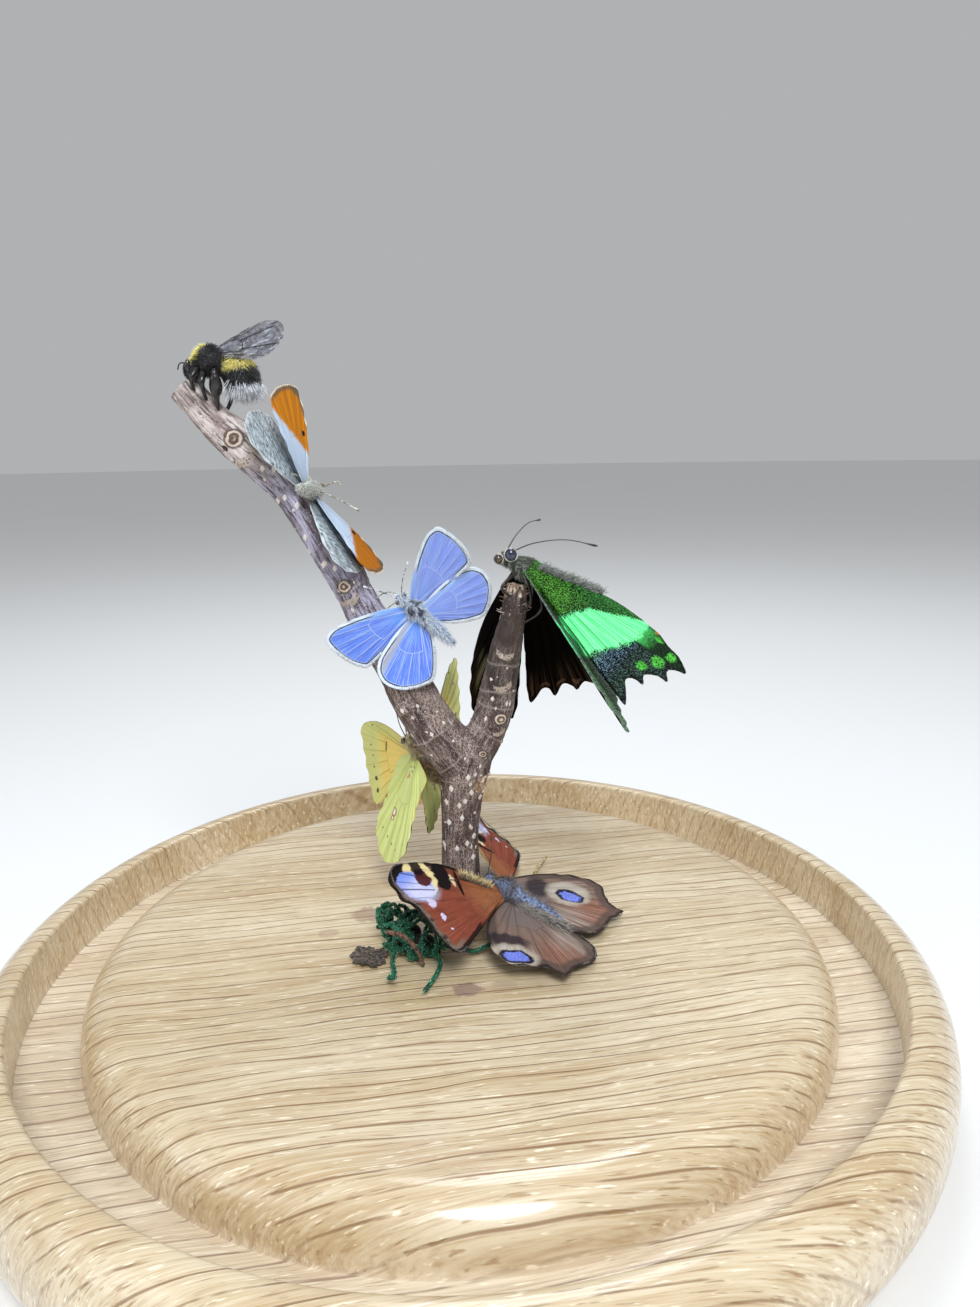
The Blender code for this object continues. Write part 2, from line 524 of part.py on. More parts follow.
def build_butterfly(name, body, wings, legs, antennae, colour):
    """Body, four wings, legs and antennae as one dried insect."""
    mat = material(name + "_scales", colour, 0.75)
    others = []
    for number, (outline, base, tip, rear) in enumerate(wings):
        others.append(wing_mesh(f"{name}_wing_{number}", outline, base, tip, rear))
    others += limb_meshes(name + "_leg", legs, LEG_RADIUS)
    others += limb_meshes(name + "_antenna", antennae, ANTENNA_RADIUS, ANTENNA_CLUB)
    stations = through([(*point, radius) for point, radius in body], 2)
    torso = stem_mesh(name, [(station[:3], station[3]) for station in stations], 8)
    fuse(name, torso, others, mat, CLEARANCE)


def build_bee():
    """The bumblebee: head, thorax and abdomen with their fur, wings and legs."""
    fur = material("bee_fur", (0.05, 0.045, 0.04), 0.95)
    lumps = []
    for number, (centre, length, width, direction) in enumerate(BEE_LUMPS):
        lumps.append(ellipsoid_mesh(f"bee_lump_{number}", centre, length, width, direction))
    head, thorax, abdomen = lumps
    head_point, thorax_point, abdomen_point = [lump[0] for lump in BEE_LUMPS]
    waist = tube_mesh("bee_waist", [thorax_point, abdomen_point], [BEE_WAIST_RADIUS] * 2, 8)
    neck = tube_mesh("bee_neck", [head_point, thorax_point], [BEE_NECK_RADIUS] * 2, 8)
    wings = []
    for number, (base, tip, rear) in enumerate(BEE_WINGS):
        wings.append(wing_mesh(f"bee_wing_{number}", BEE_WING, base, tip, rear))
    legs = limb_meshes("bee_leg", BEE_LEGS, BEE_LEG_RADIUS)
    feelers = limb_meshes("bee_feeler", BEE_FEELERS, BEE_FEELER_RADIUS)
    others = [head, abdomen, waist, neck] + wings + legs + feelers
    fuse("bumblebee", thorax, others, fur, CLEARANCE)


def build_moss():
    """Dyed moss: a clump of lumps with loose strands along the plateau."""
    green = material("dyed_moss", (0.02, 0.30, 0.12), 0.9)
    lumps = []
    for number, (centre, radius) in enumerate(MOSS_LUMPS):
        lumps.append(ellipsoid_mesh(f"moss_lump_{number}", centre, radius, radius, (0, 0, 1), 8, 5))
    strands = []
    for number, points in enumerate(MOSS_STRANDS):
        route = through(points, 2)
        strands.append(tube_mesh(f"moss_strand_{number}", route, [MOSS_STRAND_RADIUS] * len(route), 6))
    fuse("moss_clump", lumps[0], lumps[1:] + strands, green, CLEARANCE)


def build_bits():
    """The bent twig in the moss, the dry scrap beside it and a bit of grass."""
    bark = material("thin_twig", (0.16, 0.09, 0.05), 0.8)
    route = through(BENT_TWIG, 3)
    add_object("bent_twig", tube_mesh("bent_twig", route, [BENT_TWIG_RADIUS] * len(route), 6), PIECES, bark)
    straw = material("dry_grass", (0.55, 0.47, 0.28), 0.8)
    blade = through(GRASS_BIT, 2)
    stalk = tube_mesh("grass_bit", blade, [GRASS_BIT_RADIUS] * len(blade), 6)
    add_object("grass_bit", stalk, PIECES, straw)
    bm = bmesh.new()
    foot = PLATEAU_TOP + GAP
    face = bm.faces.new([bm.verts.new(vector((x, y, foot))) for x, y in SCRAP])
    moved = bmesh.ops.extrude_face_region(bm, geom=[face])["geom"]
    raised = [v for v in moved if isinstance(v, bmesh.types.BMVert)]
    bmesh.ops.translate(bm, verts=raised, vec=(0, 0, (SCRAP_TOP - foot) * MM))
    brown = material("dry_scrap", (0.07, 0.05, 0.04), 0.8)
    add_object("dry_scrap", mesh_from("dry_scrap", bm), PIECES, brown)


for old in list(bpy.data.objects):
    bpy.data.objects.remove(old)
PIECES = new_collection("pieces")
CLEARANCE = new_collection("clearance")

build_base()
build_clearance()
build_twig()
build_butterfly("orange_tip_butterfly", ORANGE_BODY, ORANGE_WINGS, ORANGE_LEGS, ORANGE_ANTENNAE,
                (0.80, 0.62, 0.38))
build_butterfly("blue_butterfly", BLUE_BODY, BLUE_WINGS, BLUE_LEGS, BLUE_ANTENNAE,
                (0.28, 0.33, 0.80))
build_butterfly("yellow_butterfly", YELLOW_BODY, YELLOW_WINGS, YELLOW_LEGS, YELLOW_ANTENNAE,
                (0.68, 0.65, 0.16))
build_butterfly("green_butterfly", GREEN_BODY, GREEN_WINGS, GREEN_LEGS, GREEN_ANTENNAE,
                (0.03, 0.22, 0.08))
build_butterfly("peacock_butterfly", PEACOCK_BODY, PEACOCK_WINGS, PEACOCK_LEGS, PEACOCK_ANTENNAE,
                (0.28, 0.09, 0.05))
build_bee()
build_moss()
build_bits()
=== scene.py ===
"""Six dried insects on a forked twig, standing on the turned oak base of a display dome.

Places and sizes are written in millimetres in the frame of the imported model, and MM
turns them into metres. Colours are written as screen values from 0 to 255.
"""
import math

import bpy
import numpy as np
from mathutils import Matrix, Vector
from mathutils import noise as fine_noise


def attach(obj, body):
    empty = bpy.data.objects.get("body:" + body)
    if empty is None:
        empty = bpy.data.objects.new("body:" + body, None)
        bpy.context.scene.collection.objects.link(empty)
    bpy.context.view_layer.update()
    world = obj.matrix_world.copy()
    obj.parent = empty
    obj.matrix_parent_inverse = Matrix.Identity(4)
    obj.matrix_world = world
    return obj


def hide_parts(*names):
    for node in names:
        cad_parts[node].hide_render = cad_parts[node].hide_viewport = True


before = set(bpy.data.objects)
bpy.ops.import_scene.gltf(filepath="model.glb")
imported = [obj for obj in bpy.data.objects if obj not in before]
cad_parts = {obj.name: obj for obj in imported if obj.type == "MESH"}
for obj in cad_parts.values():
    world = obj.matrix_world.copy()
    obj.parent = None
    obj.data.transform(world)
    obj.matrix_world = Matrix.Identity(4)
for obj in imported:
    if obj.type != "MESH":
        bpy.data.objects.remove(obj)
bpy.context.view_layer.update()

MM = 0.001


# ---- The view ----
# The photograph was taken from close by, a little above the insects, with a short
# lens. The floor is plain and pale, and the light is that of soft studio panels.
EYE = (0, -168.6, 113.9)
TURN, DOWN, LEAN = 0.038, 0.224, -0.015       # to the right, downwards, about the view axis
LENS = 24.95

bpy.ops.object.select_all(action="DESELECT")
ahead = Vector((math.sin(TURN) * math.cos(DOWN), math.cos(TURN) * math.cos(DOWN), -math.sin(DOWN)))
level = Vector((math.cos(TURN), -math.sin(TURN), 0))
upright = level.cross(ahead)
across = level * math.cos(LEAN) + upright * math.sin(LEAN)
above = upright * math.cos(LEAN) - level * math.sin(LEAN)
bpy.ops.object.camera_add(location=Vector(EYE) * MM)
camera = bpy.context.object
camera.rotation_euler = Matrix((across, above, -ahead)).transposed().to_euler()
camera.data.lens = LENS
camera.data.sensor_width = 36
camera.data.clip_start = 0.005
bpy.context.scene.camera = camera

PANELS = [                            # name, place, aimed at, size, power in watts
    ("key_panel", (70, -470, 610), (0, 0, 60), 290, 4.9),
    ("fill_panel", (-520, -240, 320), (0, 0, 60), 400, 0.6),
    ("back_panel", (60, 300, 620), (0, 0, 60), 300, 1.5),
]
for name, place, aim, size, power in PANELS:
    bpy.ops.object.light_add(type="AREA", location=Vector(place) * MM)
    panel = bpy.context.object
    panel.name = name
    panel.data.shape = "DISK"
    panel.data.size = size * MM
    panel.data.energy = power
    panel.data.color = (0.9, 0.95, 1)
    panel.rotation_euler = (Vector(aim) - Vector(place)).to_track_quat("-Z", "Y").to_euler()

world = bpy.data.worlds.new("soft_room")
world.use_nodes = True
world.node_tree.nodes["Background"].inputs["Color"].default_value = (0.96, 0.98, 1, 1)
world.node_tree.nodes["Background"].inputs["Strength"].default_value = 0.45
bpy.context.scene.world = world
bpy.context.scene.view_settings.view_transform = "Standard"


def colour(red, green, blue):
    """A screen colour from 0 to 255 as the linear colour that a socket takes."""
    linear = []
    for value in (red, green, blue):
        share = value / 255
        linear.append(share / 12.92 if share <= 0.04045 else ((share + 0.055) / 1.055) ** 2.4)
    return (*linear, 1)


def add(tree, kind, inputs=None, **settings):
    """One shader node, its inputs given as values or as the sockets that feed them."""
    made = tree.nodes.new("ShaderNode" + kind)
    for setting, value in settings.items():
        setattr(made, setting, value)
    for name, value in (inputs or {}).items():
        if isinstance(value, bpy.types.NodeSocket):
            tree.links.new(value, made.inputs[name])
        else:
            made.inputs[name].default_value = value
    return made


def tree_of(*things):
    """The node tree that the first socket among the things belongs to."""
    return next(thing.id_data for thing in things if isinstance(thing, bpy.types.NodeSocket))


def new_material(name, roughness, **constants):
    """A material, its node tree and its shader, with constants set on the shader's sockets."""
    made = bpy.data.materials.new(name)
    made.use_nodes = True
    shader = made.node_tree.nodes["Principled BSDF"]
    shader.inputs["Roughness"].default_value = roughness
    for socket, value in constants.items():
        shader.inputs[socket.replace("_", " ")].default_value = value
    return made, made.node_tree, shader


def noise(place, scale, detail=3, roughness=0.55):
    """The grey value of a noise pattern at a place."""
    inputs = {"Vector": place, "Scale": scale, "Detail": detail, "Roughness": roughness}
    return add(tree_of(place), "TexNoise", inputs).outputs["Fac"]


def object_place(tree):
    return add(tree, "TexCoord").outputs["Object"]


def paint(under, over, mask):
    """Lays one colour over another where the mask is white. A triple is a screen colour."""
    under, over = (colour(*tone) if isinstance(tone, tuple) else tone
                   for tone in (under, over))
    inputs = {0: mask, 6: under, 7: over}
    return add(tree_of(mask, under, over), "Mix", inputs, data_type="RGBA").outputs[2]


floor_paint, tree, shader = new_material("floor_paint", 0.6)
spot = object_place(tree)
tone = paint((232, 232, 231), (236, 236, 236), noise(spot, 6))
tree.links.new(tone, shader.inputs["Base Color"])
bpy.ops.mesh.primitive_circle_add(vertices=96, radius=6, fill_type="NGON", location=(0, 0, -0.0002))
floor = bpy.context.object
floor.name = "floor"
bpy.ops.object.transform_apply(location=True)
floor.data.materials.append(floor_paint)


# ---- The turned base ----
# One disc of oak, turned on a lathe: a bullnose rim, a flat-bottomed groove for the
# glass, and a raised plateau with a rounded edge, under a satin clear coat.
BASE_RADIUS = 91.6
FOOT_RADIUS = 84
FOOT_HEIGHT = 8.6
RIM_TOP = 19.4
RIM_ROUND = (6.8, 8.4)
GROOVE_FLOOR = 9
GROOVE_OUTER, GROOVE_INNER = 83.3, 72.5
PLATEAU_TOP = 18.4
PLATEAU_ROUND = 7.3
GRAIN_TURN = math.radians(8.5)
LATHE_STEPS = 288


def arc(centre, reach, start, end, steps):
    """Points of an elliptic arc in the turning profile, its angles in degrees."""
    points = []
    for step in range(steps + 1):
        angle = math.radians(start + (end - start) * step / steps)
        points.append((centre[0] + reach[0] * math.cos(angle), centre[1] + reach[1] * math.sin(angle)))
    return points


def pick(*pieces):
    """Selects these objects alone and makes the first of them active."""
    bpy.ops.object.select_all(action="DESELECT")
    for piece in pieces:
        piece.select_set(True)
    bpy.context.view_layer.objects.active = pieces[0]
    return pieces[0]


profile = [(0, 0), (20, 0), (50, 0), (FOOT_RADIUS - 0.4, 0), (FOOT_RADIUS, 0)]
profile += arc((FOOT_RADIUS, FOOT_HEIGHT), (BASE_RADIUS - FOOT_RADIUS, FOOT_HEIGHT), -84, 0, 14)
profile += arc((BASE_RADIUS - RIM_ROUND[0], RIM_TOP - RIM_ROUND[1]), RIM_ROUND, 0, 90, 14)
profile += arc((GROOVE_OUTER + 0.9, RIM_TOP - 0.9), (0.9, 0.9), 100, 180, 5)
profile += [(GROOVE_OUTER, GROOVE_FLOOR + 0.5), (GROOVE_OUTER - 0.15, GROOVE_FLOOR + 0.12)]
profile += [(GROOVE_OUTER - 0.5, GROOVE_FLOOR), (GROOVE_INNER + 0.5, GROOVE_FLOOR)]
profile += [(GROOVE_INNER + 0.12, GROOVE_FLOOR + 0.12), (GROOVE_INNER, GROOVE_FLOOR + 0.5)]
round_centre = (GROOVE_INNER - PLATEAU_ROUND, PLATEAU_TOP - PLATEAU_ROUND)
profile += arc(round_centre, (PLATEAU_ROUND, PLATEAU_ROUND), 0, 90, 16)
profile += [(45, PLATEAU_TOP), (20, PLATEAU_TOP), (0, PLATEAU_TOP)]

outline = bpy.data.meshes.new("oak_turning")
outline.from_pydata([(x * MM, 0, z * MM) for x, z in profile],
                    [(i, i + 1) for i in range(len(profile) - 1)], [])
base = bpy.data.objects.new("oak_turning", outline)
bpy.context.scene.collection.objects.link(base)
pick(base)
turning = base.modifiers.new("Turning", "SCREW")
turning.steps = turning.render_steps = LATHE_STEPS
turning.use_merge_vertices = True
turning.merge_threshold = 0.00001
bpy.ops.object.modifier_apply(modifier="Turning")
bpy.ops.object.mode_set(mode="EDIT")
bpy.ops.mesh.select_all(action="SELECT")
bpy.ops.mesh.remove_doubles(threshold=0.00001)
bpy.ops.mesh.normals_make_consistent(inside=False)
bpy.ops.object.mode_set(mode="OBJECT")
bpy.ops.object.shade_smooth_by_angle(angle=math.radians(32))


def ramp(value, low, high, top=1, bottom=0):
    """A value eased from bottom to top while it goes from low to high."""
    inputs = {"Value": value, "From Min": low, "From Max": high, "To Min": bottom, "To Max": top}
    kind = {"interpolation_type": "SMOOTHSTEP"}
    return add(tree_of(value, low, high), "MapRange", inputs, **kind).outputs["Result"]


def calc(operation, first, second=0):
    """One step of arithmetic between two values."""
    inputs = {0: first, 1: second}
    return add(tree_of(first, second), "Math", inputs, operation=operation).outputs["Value"]


def times(first, second):
    return calc("MULTIPLY", first, second)


def plus(first, second):
    return calc("ADD", first, second)


def minus(first, second):
    return calc("SUBTRACT", first, second)


def vector(operation, first, second):
    """One step of arithmetic between two places or colours."""
    inputs = {0: first, 1: second}
    return add(tree_of(first, second), "VectorMath", inputs, operation=operation).outputs[0]


def length_of(place):
    return add(tree_of(place), "VectorMath", {0: place}, operation="LENGTH").outputs["Value"]


def split(place):
    """The X, Y and Z of a place."""
    return add(tree_of(place), "SeparateXYZ", {"Vector": place}).outputs


def stretch(place, scale, centre=(0, 0, 0), turn=(0, 0, 0)):
    """A place measured from a centre, turned back and stretched, before a pattern reads it."""
    inputs = {"Vector": place, "Scale": scale, "Location": centre, "Rotation": turn}
    return add(tree_of(place), "Mapping", inputs, vector_type="TEXTURE").outputs["Vector"]


def relief(shader, height, distance):
    """Feeds a height in metres into the shader's normal."""
    bump = add(tree_of(height), "Bump", {"Height": height, "Distance": distance})
    tree_of(height).links.new(bump.outputs["Normal"], shader.inputs["Normal"])


oak, tree, shader = new_material("satin_oak", 0.4, Coat_Weight=0.8, Coat_Roughness=0.12)
spot = object_place(tree)
plank = add(tree, "VectorRotate", {"Vector": spot, "Angle": -GRAIN_TURN},
            rotation_type="Z_AXIS").outputs["Vector"]
sway = noise(stretch(plank, (0.06, 0.022, 0.05)), 1, 2)
shift = add(tree, "CombineXYZ", {"Y": times(sway, 0.007)}).outputs["Vector"]
plank = vector("ADD", plank, shift)
broad = noise(stretch(plank, (0.14, 0.01, 0.03)), 1, 3)
fibre = noise(stretch(plank, (0.018, 0.00036, 0.0022)), 1, 4, 0.6)
parts = split(plank)
height = split(spot)["Z"]


def pore_lines(spacing, width, gaps, low, high):
    """Dark lines of open pores along the growth rings, broken up where the gaps noise is low."""
    ring = plus(times(parts["Y"], 1 / (spacing * MM)), times(parts["Z"], 0.28 / (spacing * MM)))
    ring = plus(ring, times(broad, 1.5))
    ring = calc("ABSOLUTE", minus(calc("FRACT", ring), 0.5))
    kept = ramp(noise(stretch(plank, gaps), 1, 3, 0.65), low, high)
    return times(ramp(ring, width / spacing, width / spacing * 0.2), kept)


line = pore_lines(2.9, 0.24, (0.026, 0.0021, 0.004), 0.38, 0.5)
thin_line = pore_lines(1.05, 0.15, (0.015, 0.0012, 0.003), 0.5, 0.62)
dash = ramp(noise(stretch(plank, (0.0062, 0.00034, 0.0018)), 1, 2, 0.5), 0.62, 0.7)
fleck = ramp(noise(stretch(plank, (0.0042, 0.00042, 0.0016)), 1, 2, 0.5), 0.62, 0.72)
tone = paint((196, 172, 134), (216, 198, 166), ramp(broad, 0.34, 0.66))
tone = paint(tone, (174, 142, 100), ramp(fibre, 0.46, 0.7, 0.6))
tone = paint(tone, (230, 215, 188), ramp(fibre, 0.5, 0.3, 0.6))
tone = paint(tone, (246, 234, 208), times(fleck, 0.8))
tone = paint(tone, (176, 142, 96), times(thin_line, 0.55))
tone = paint(tone, (158, 122, 78), times(dash, 0.65))
flat_on = split(add(tree, "NewGeometry").outputs["Normal"])["Z"]
line_depth = ramp(flat_on, 0.1, 0.7, 0.85, 0.3)
tone = paint(tone, (136, 98, 58), times(line, line_depth))
out = length_of(vector("MULTIPLY", spot, (1, 1, 0)))
# The groove floor and walls are painted lighter and cooler: painted light that makes up for the shade down in
# the groove.
groove_painted_light = times(ramp(height, 0.0112, 0.0092), times(ramp(out, 0.0722, 0.0726), ramp(out, 0.0834, 0.0832)))
tone = paint(tone, vector("ADD", tone, (0.07, 0.08, 0.1)), times(groove_painted_light, 0.9))
DARK_PATCHES = [                            # place, half size, colour, strength: darker brown patches on the plateau; the first two, in front of the peacock, are painted shadow of its wings
    ((0.5, -22.4), (2.6, 2), (150, 118, 108), 0.75),
    ((7.2, -21.6), (2.4, 1.4), (176, 146, 128), 0.35),
    ((-19.8, 5.9), (3.2, 3), (150, 112, 92), 0.6),
    ((-27.2, -1), (2, 1.6), (160, 126, 104), 0.4),
]
for place, size, patch_colour, strength in DARK_PATCHES:
    away = stretch(spot, (size[0] * MM, size[1] * MM, 1))
    away = vector("SUBTRACT", away, (place[0] / size[0], place[1] / size[1], 0))
    rough_edge = plus(length_of(away), noise(spot, 900))
    tone = paint(tone, patch_colour, ramp(rough_edge, 1.75, 1.35, strength))
tree.links.new(tone, shader.inputs["Base Color"])
tree.links.new(ramp(fibre, 0.3, 0.7, 0.46, 0.34), shader.inputs["Roughness"])
deep = plus(times(dash, -0.5), times(line, -1))
relief(shader, plus(deep, times(fibre, 0.3)), 0.0001)
base.data.materials.append(oak)
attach(base, "root")
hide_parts("oak_base")


# ---- The forked twig ----
# One dry branch of a garden shrub, cut at its top left and broken at its top right,
# standing glued on the plateau. Its bark has fine fissures, pale pores and leaf scars.
TRUNK = [                             # x, y, z of the centre line and the radius
    (0.2, 9, 18.7, 5.6), (0.1, 9, 20.6, 4.9), (-0.2, 9, 25.5, 4.1), (-0.1, 9, 34.5, 3.9),
    (0.2, 9, 40, 4.1), (0.6, 9, 45, 4.5), (1.3, 9, 50, 5.2), (2.2, 9, 53.2, 5),
]
LEFT_BRANCH = [
    (2, 9, 47.6, 4.6), (0.6, 9, 50.6, 5.1), (-1.6, 9, 53.6, 5.2), (-4.4, 9, 57.2, 5.1),
    (-6.8, 9, 61.2, 4.9), (-9.3, 9, 65.9, 4.8), (-11.4, 9.2, 70.9, 4.7), (-16.5, 9.5, 79.5, 4.2),
    (-19.6, 9.7, 85.7, 3.6), (-21.6, 9.8, 90.1, 3.9), (-24.3, 10, 94.5, 3.6), (-27.9, 10.2, 100.7, 3.5),
    (-31.4, 10.4, 106.1, 3.4), (-36.4, 10.6, 111.4, 3.6), (-41, 10.8, 115.9, 3.9),
    (-45.2, 10.9, 119.8, 3.3), (-50.2, 11, 125.8, 3.1),
]
RIGHT_BRANCH = [
    (0.8, 9, 48.4, 3.8), (4, 9, 54, 4.1), (6.4, 9, 58.5, 3.9), (7.9, 9, 63.7, 3.8),
    (8.9, 9, 69, 3.4), (10, 9, 74.1, 3.2), (11.1, 9, 79.2, 2.7), (11.9, 9, 84.3, 2.4),
    (12.4, 9, 87.4, 1.9),
]
BUDS = [                              # short stubs where a bud or a side shoot was
    [(-8.2, 6.2, 63.6, 1.7), (-11.9, 3.9, 63.4, 1.3)],
    [(-41, 8.6, 116.4, 1.7), (-40.7, 7.2, 116.1, 1.5)],
    [(-21.2, 8.6, 88.6, 1.6), (-21.2, 6.4, 88, 1.4)],
    [(6.8, 6.4, 59.4, 1.5), (7.1, 5.2, 60, 1.2)],
]
BARK_VOXEL = 0.27


def through(stations, steps):
    """A smooth curve through stations of any length, steps to each span."""
    knots = np.array(stations, float)
    ends = np.vstack([2 * knots[0] - knots[1], knots, 2 * knots[-1] - knots[-2]])
    curve = []
    for a, b, c, d in zip(ends, ends[1:], ends[2:], ends[3:]):
        for step in range(steps):
            t = step / steps
            curve.append(0.5 * (2 * b + (c - a) * t + (2 * a - 5 * b + 4 * c - d) * t * t
                                + (3 * b - a - 3 * c + d) * t ** 3))
    curve.append(knots[-1])
    return np.array(curve)


def walked(line):
    """How far along a line each of its points lies."""
    return np.concatenate([[0], np.cumsum(np.linalg.norm(np.diff(line, axis=0), axis=1))])


def points_at(distances, walk, line):
    """The points of a line at distances along it."""
    return np.stack([np.interp(distances, walk, column) for column in line.T], 1)


def tubes(name, routes, sides):
    """Capped round stems, each through (x, y, z, radius) stations in millimetres, as one mesh."""
    curve = bpy.data.curves.new(name, "CURVE")
    curve.dimensions = "3D"
    curve.bevel_depth = MM
    curve.bevel_resolution = (sides - 4) // 2
    curve.use_fill_caps = True
    for route in routes:
        spline = curve.splines.new("POLY")
        spline.points.add(len(route) - 1)
        for knot, station in zip(spline.points, route):
            knot.co = (*(Vector(station[:3]) * MM), 1)
            knot.radius = station[3]
    stem = bpy.data.objects.new(name, curve)
    bpy.context.scene.collection.objects.link(stem)
    pick(stem)
    bpy.ops.object.convert(target="MESH")
    bpy.ops.object.mode_set(mode="EDIT")
    bpy.ops.mesh.select_all(action="SELECT")
    bpy.ops.mesh.remove_doubles(threshold=0.000002)
    bpy.ops.mesh.normals_make_consistent(inside=False)
    bpy.ops.object.mode_set(mode="OBJECT")
    bpy.ops.object.shade_smooth()
    return bpy.context.object


def points_of(piece):
    """The vertices of a mesh in millimetres."""
    flat = np.zeros(len(piece.data.vertices) * 3, np.float32)
    piece.data.vertices.foreach_get("co", flat)
    return flat.reshape(-1, 3).astype(float) / MM


def normals_of(piece):
    flat = np.zeros(len(piece.data.vertices) * 3, np.float32)
    piece.data.vertices.foreach_get("normal", flat)
    return flat.reshape(-1, 3).astype(float)


def move_points(piece, points):
    piece.data.vertices.foreach_set("co", (points * MM).astype(np.float32).ravel())
    piece.data.update()


def mark(piece, name, values):
    """Stores a value or a vector for each vertex, for the material to read."""
    values = np.asarray(values, np.float32)
    kind, field = ("FLOAT", "value") if values.ndim == 1 else ("FLOAT_VECTOR", "vector")
    layer = piece.data.attributes.new(name, kind, "POINT")
    layer.data.foreach_set(field, values.ravel())


twig = tubes("bark_twig", [through(stem, 6) for stem in (TRUNK, LEFT_BRANCH, RIGHT_BRANCH)] + BUDS, 32)
twig.data.remesh_voxel_size = BARK_VOXEL * MM
twig.data.remesh_voxel_adaptivity = 0
bpy.ops.object.voxel_remesh()
smoothing = twig.modifiers.new("Smoothing", "SMOOTH")
smoothing.factor = 0.5
smoothing.iterations = 12
bpy.ops.object.modifier_apply(modifier="Smoothing")

# Each bark point gets its place as if its stem were straight: across, across, along.
skin = points_of(twig)
nearest = np.full(len(skin), 1e9)
bark = np.zeros((len(skin), 3))
stem_of = np.zeros(len(skin), int)
ring_angle = np.zeros(len(skin))
for number, stem in enumerate((TRUNK, LEFT_BRANCH, RIGHT_BRANCH)):
    line_points = through(stem, 6)
    centres, radii = line_points[:, :3], line_points[:, 3]
    length = walked(centres)
    tangents = np.gradient(centres, axis=0)
    tangents /= np.linalg.norm(tangents, axis=1)[:, None]
    gaps = np.linalg.norm(skin[:, None, :] - centres[None, :, :], axis=2) - radii[None, :]
    closest = gaps.argmin(1)
    better = gaps[np.arange(len(skin)), closest] < nearest
    away = skin - centres[closest]
    tangent = tangents[closest]
    along = length[closest] + (away * tangent).sum(1)
    side = np.cross(tangent, (0, -1, 0))
    side /= np.linalg.norm(side, axis=1)[:, None]
    front = np.cross(side, tangent)
    right, toward = (away * side).sum(1), (away * front).sum(1)
    straight = np.stack([right, toward, along + 200 * number], 1)
    bark[better] = straight[better]
    stem_of[better] = number
    ring_angle[better] = np.degrees(np.arctan2(toward, right))[better]
    nearest = np.minimum(nearest, gaps[np.arange(len(skin)), closest])
skin_out = normals_of(twig)
from_root = bark[:, 2] % 200


def rough(points, size, seed):
    """Smooth random heights from -1 to 1 for points in millimetres, size apart."""
    scaled = np.asarray(points, float) / np.asarray(size, float) + seed
    return np.array([fine_noise.noise(Vector(p)) for p in scaled])


def near(points, centre, reach):
    """1 at the centre, easing to 0 at the reach."""
    away = np.linalg.norm(points - np.array(centre), axis=1) / reach
    return np.clip(1 - away * away, 0, 1) ** 2


fissures = np.abs(rough(bark, (0.75, 0.75, 5), 3))
waves = rough(skin, (4, 4, 6), 9)
pimples = rough(skin, (0.7, 0.7, 0.9), 5)
young = np.clip((skin[:, 2] - 62) / 30, 0, 1)
height = 0.16 * waves + 0.08 * pimples - 0.22 * np.clip(0.28 - fissures, 0, 1) * 3 * (0.25 + 0.75 * young)
RINGS = [                             # stem, distance along it, height, slant: growth rings
    (1, 12.2, 0.14, 0), (1, 5.4, 0.18, 0.1), (2, 19.4, 0.12, 0.12), (2, 16.2, 0.1, 0.05),
    (2, 10.4, 0.16, -0.16), (2, 25, 0.1, 0.1), (0, 29.2, 0.12, 0.22), (1, 45.6, 0.14, 0.1),
    (1, 68, 0.12, 0.05),
]
ring_mark = np.zeros(len(skin))
for stem, along, ridge, slant in RINGS:
    away = from_root - along - slant * bark[:, 0] + 0.25 * rough(skin, (2, 2, 2), along)
    band = np.where(stem_of == stem, np.exp(-(away / 0.15) ** 2), 0)
    height += ridge * band
    ring_mark = np.maximum(ring_mark, band)
SCARS = [                             # centre, reach, height: bud scars, leaf scars and swellings
    ((-40.6, 7.2, 116.1), 2.3, 0.55), ((-39, 7.4, 112.4), 3.2, 0.45), ((-42.6, 7.9, 114.3), 0.9, -1.1),
    ((-21.3, 6.4, 88), 1.9, 0.45), ((-20.6, 6.1, 85.6), 2.4, 0.35), ((8.5, 5.6, 60.7), 1.8, 0.3),
    ((8.2, 5.5, 57.9), 2.2, 0.3), ((9.6, 5.8, 73.6), 2.6, 0.3), ((9, 5.6, 67.4), 2.6, 0.25),
    ((10, 6.3, 77.4), 2.2, 0.45), ((4.8, 5.3, 53.6), 1.6, 0.3), ((-31.5, 7.4, 106.8), 1.4, -0.3),
]
for centre, reach, lift in SCARS:
    height += lift * near(skin, centre, reach)
LENTICELS = [                         # x and z of the pale pores that show in front
    (1.8, 49), (-1.7, 46.3), (2.4, 45.5), (4.2, 43.7), (-0.1, 42.7), (1.1, 43.6), (-2.8, 43),
    (-2.3, 38.7), (1.3, 34.1), (-0.8, 33.1), (-3.5, 33.4), (2.8, 35.2), (2.5, 30.7), (0.4, 39.9),
    (-40.7, 111.2), (-35.7, 110.6), (-33.6, 110.4), (-35.5, 105.2), (-33.5, 104.4), (-31.9, 105.1),
    (-29.6, 103.6), (-28.6, 97.5), (-28.2, 94.6), (-25.3, 92.2), (-23, 91.6),
]
lozenge = np.zeros(len(skin))
for x, z in LENTICELS:
    lozenge = np.maximum(lozenge, 1 - np.abs(skin[:, 0] - x) / 0.62 - np.abs(skin[:, 2] - z) / 0.98)
lozenge[skin_out[:, 1] > 0] = 0
height += 0.12 * lozenge
mark(twig, "lozenge", lozenge)
cut_end = np.clip((from_root - 103.2) / 0.5, 0, 1) * (stem_of == 1)
broken_end = np.clip((skin[:, 2] - 84.6) / 2.4, 0, 1) * (stem_of == 2)
height = height * (1 - 0.6 * cut_end) + cut_end * 0.5 * rough(skin, (0.8, 0.8, 0.8), 2)
height += broken_end * 0.35 * rough(skin, (0.5, 0.5, 1.6), 7)
move_points(twig, skin + skin_out * height[:, None])
mark(twig, "bark", bark)
mark(twig, "ends", np.stack([cut_end, broken_end, ring_mark], 1))
mark(twig, "relief", height)
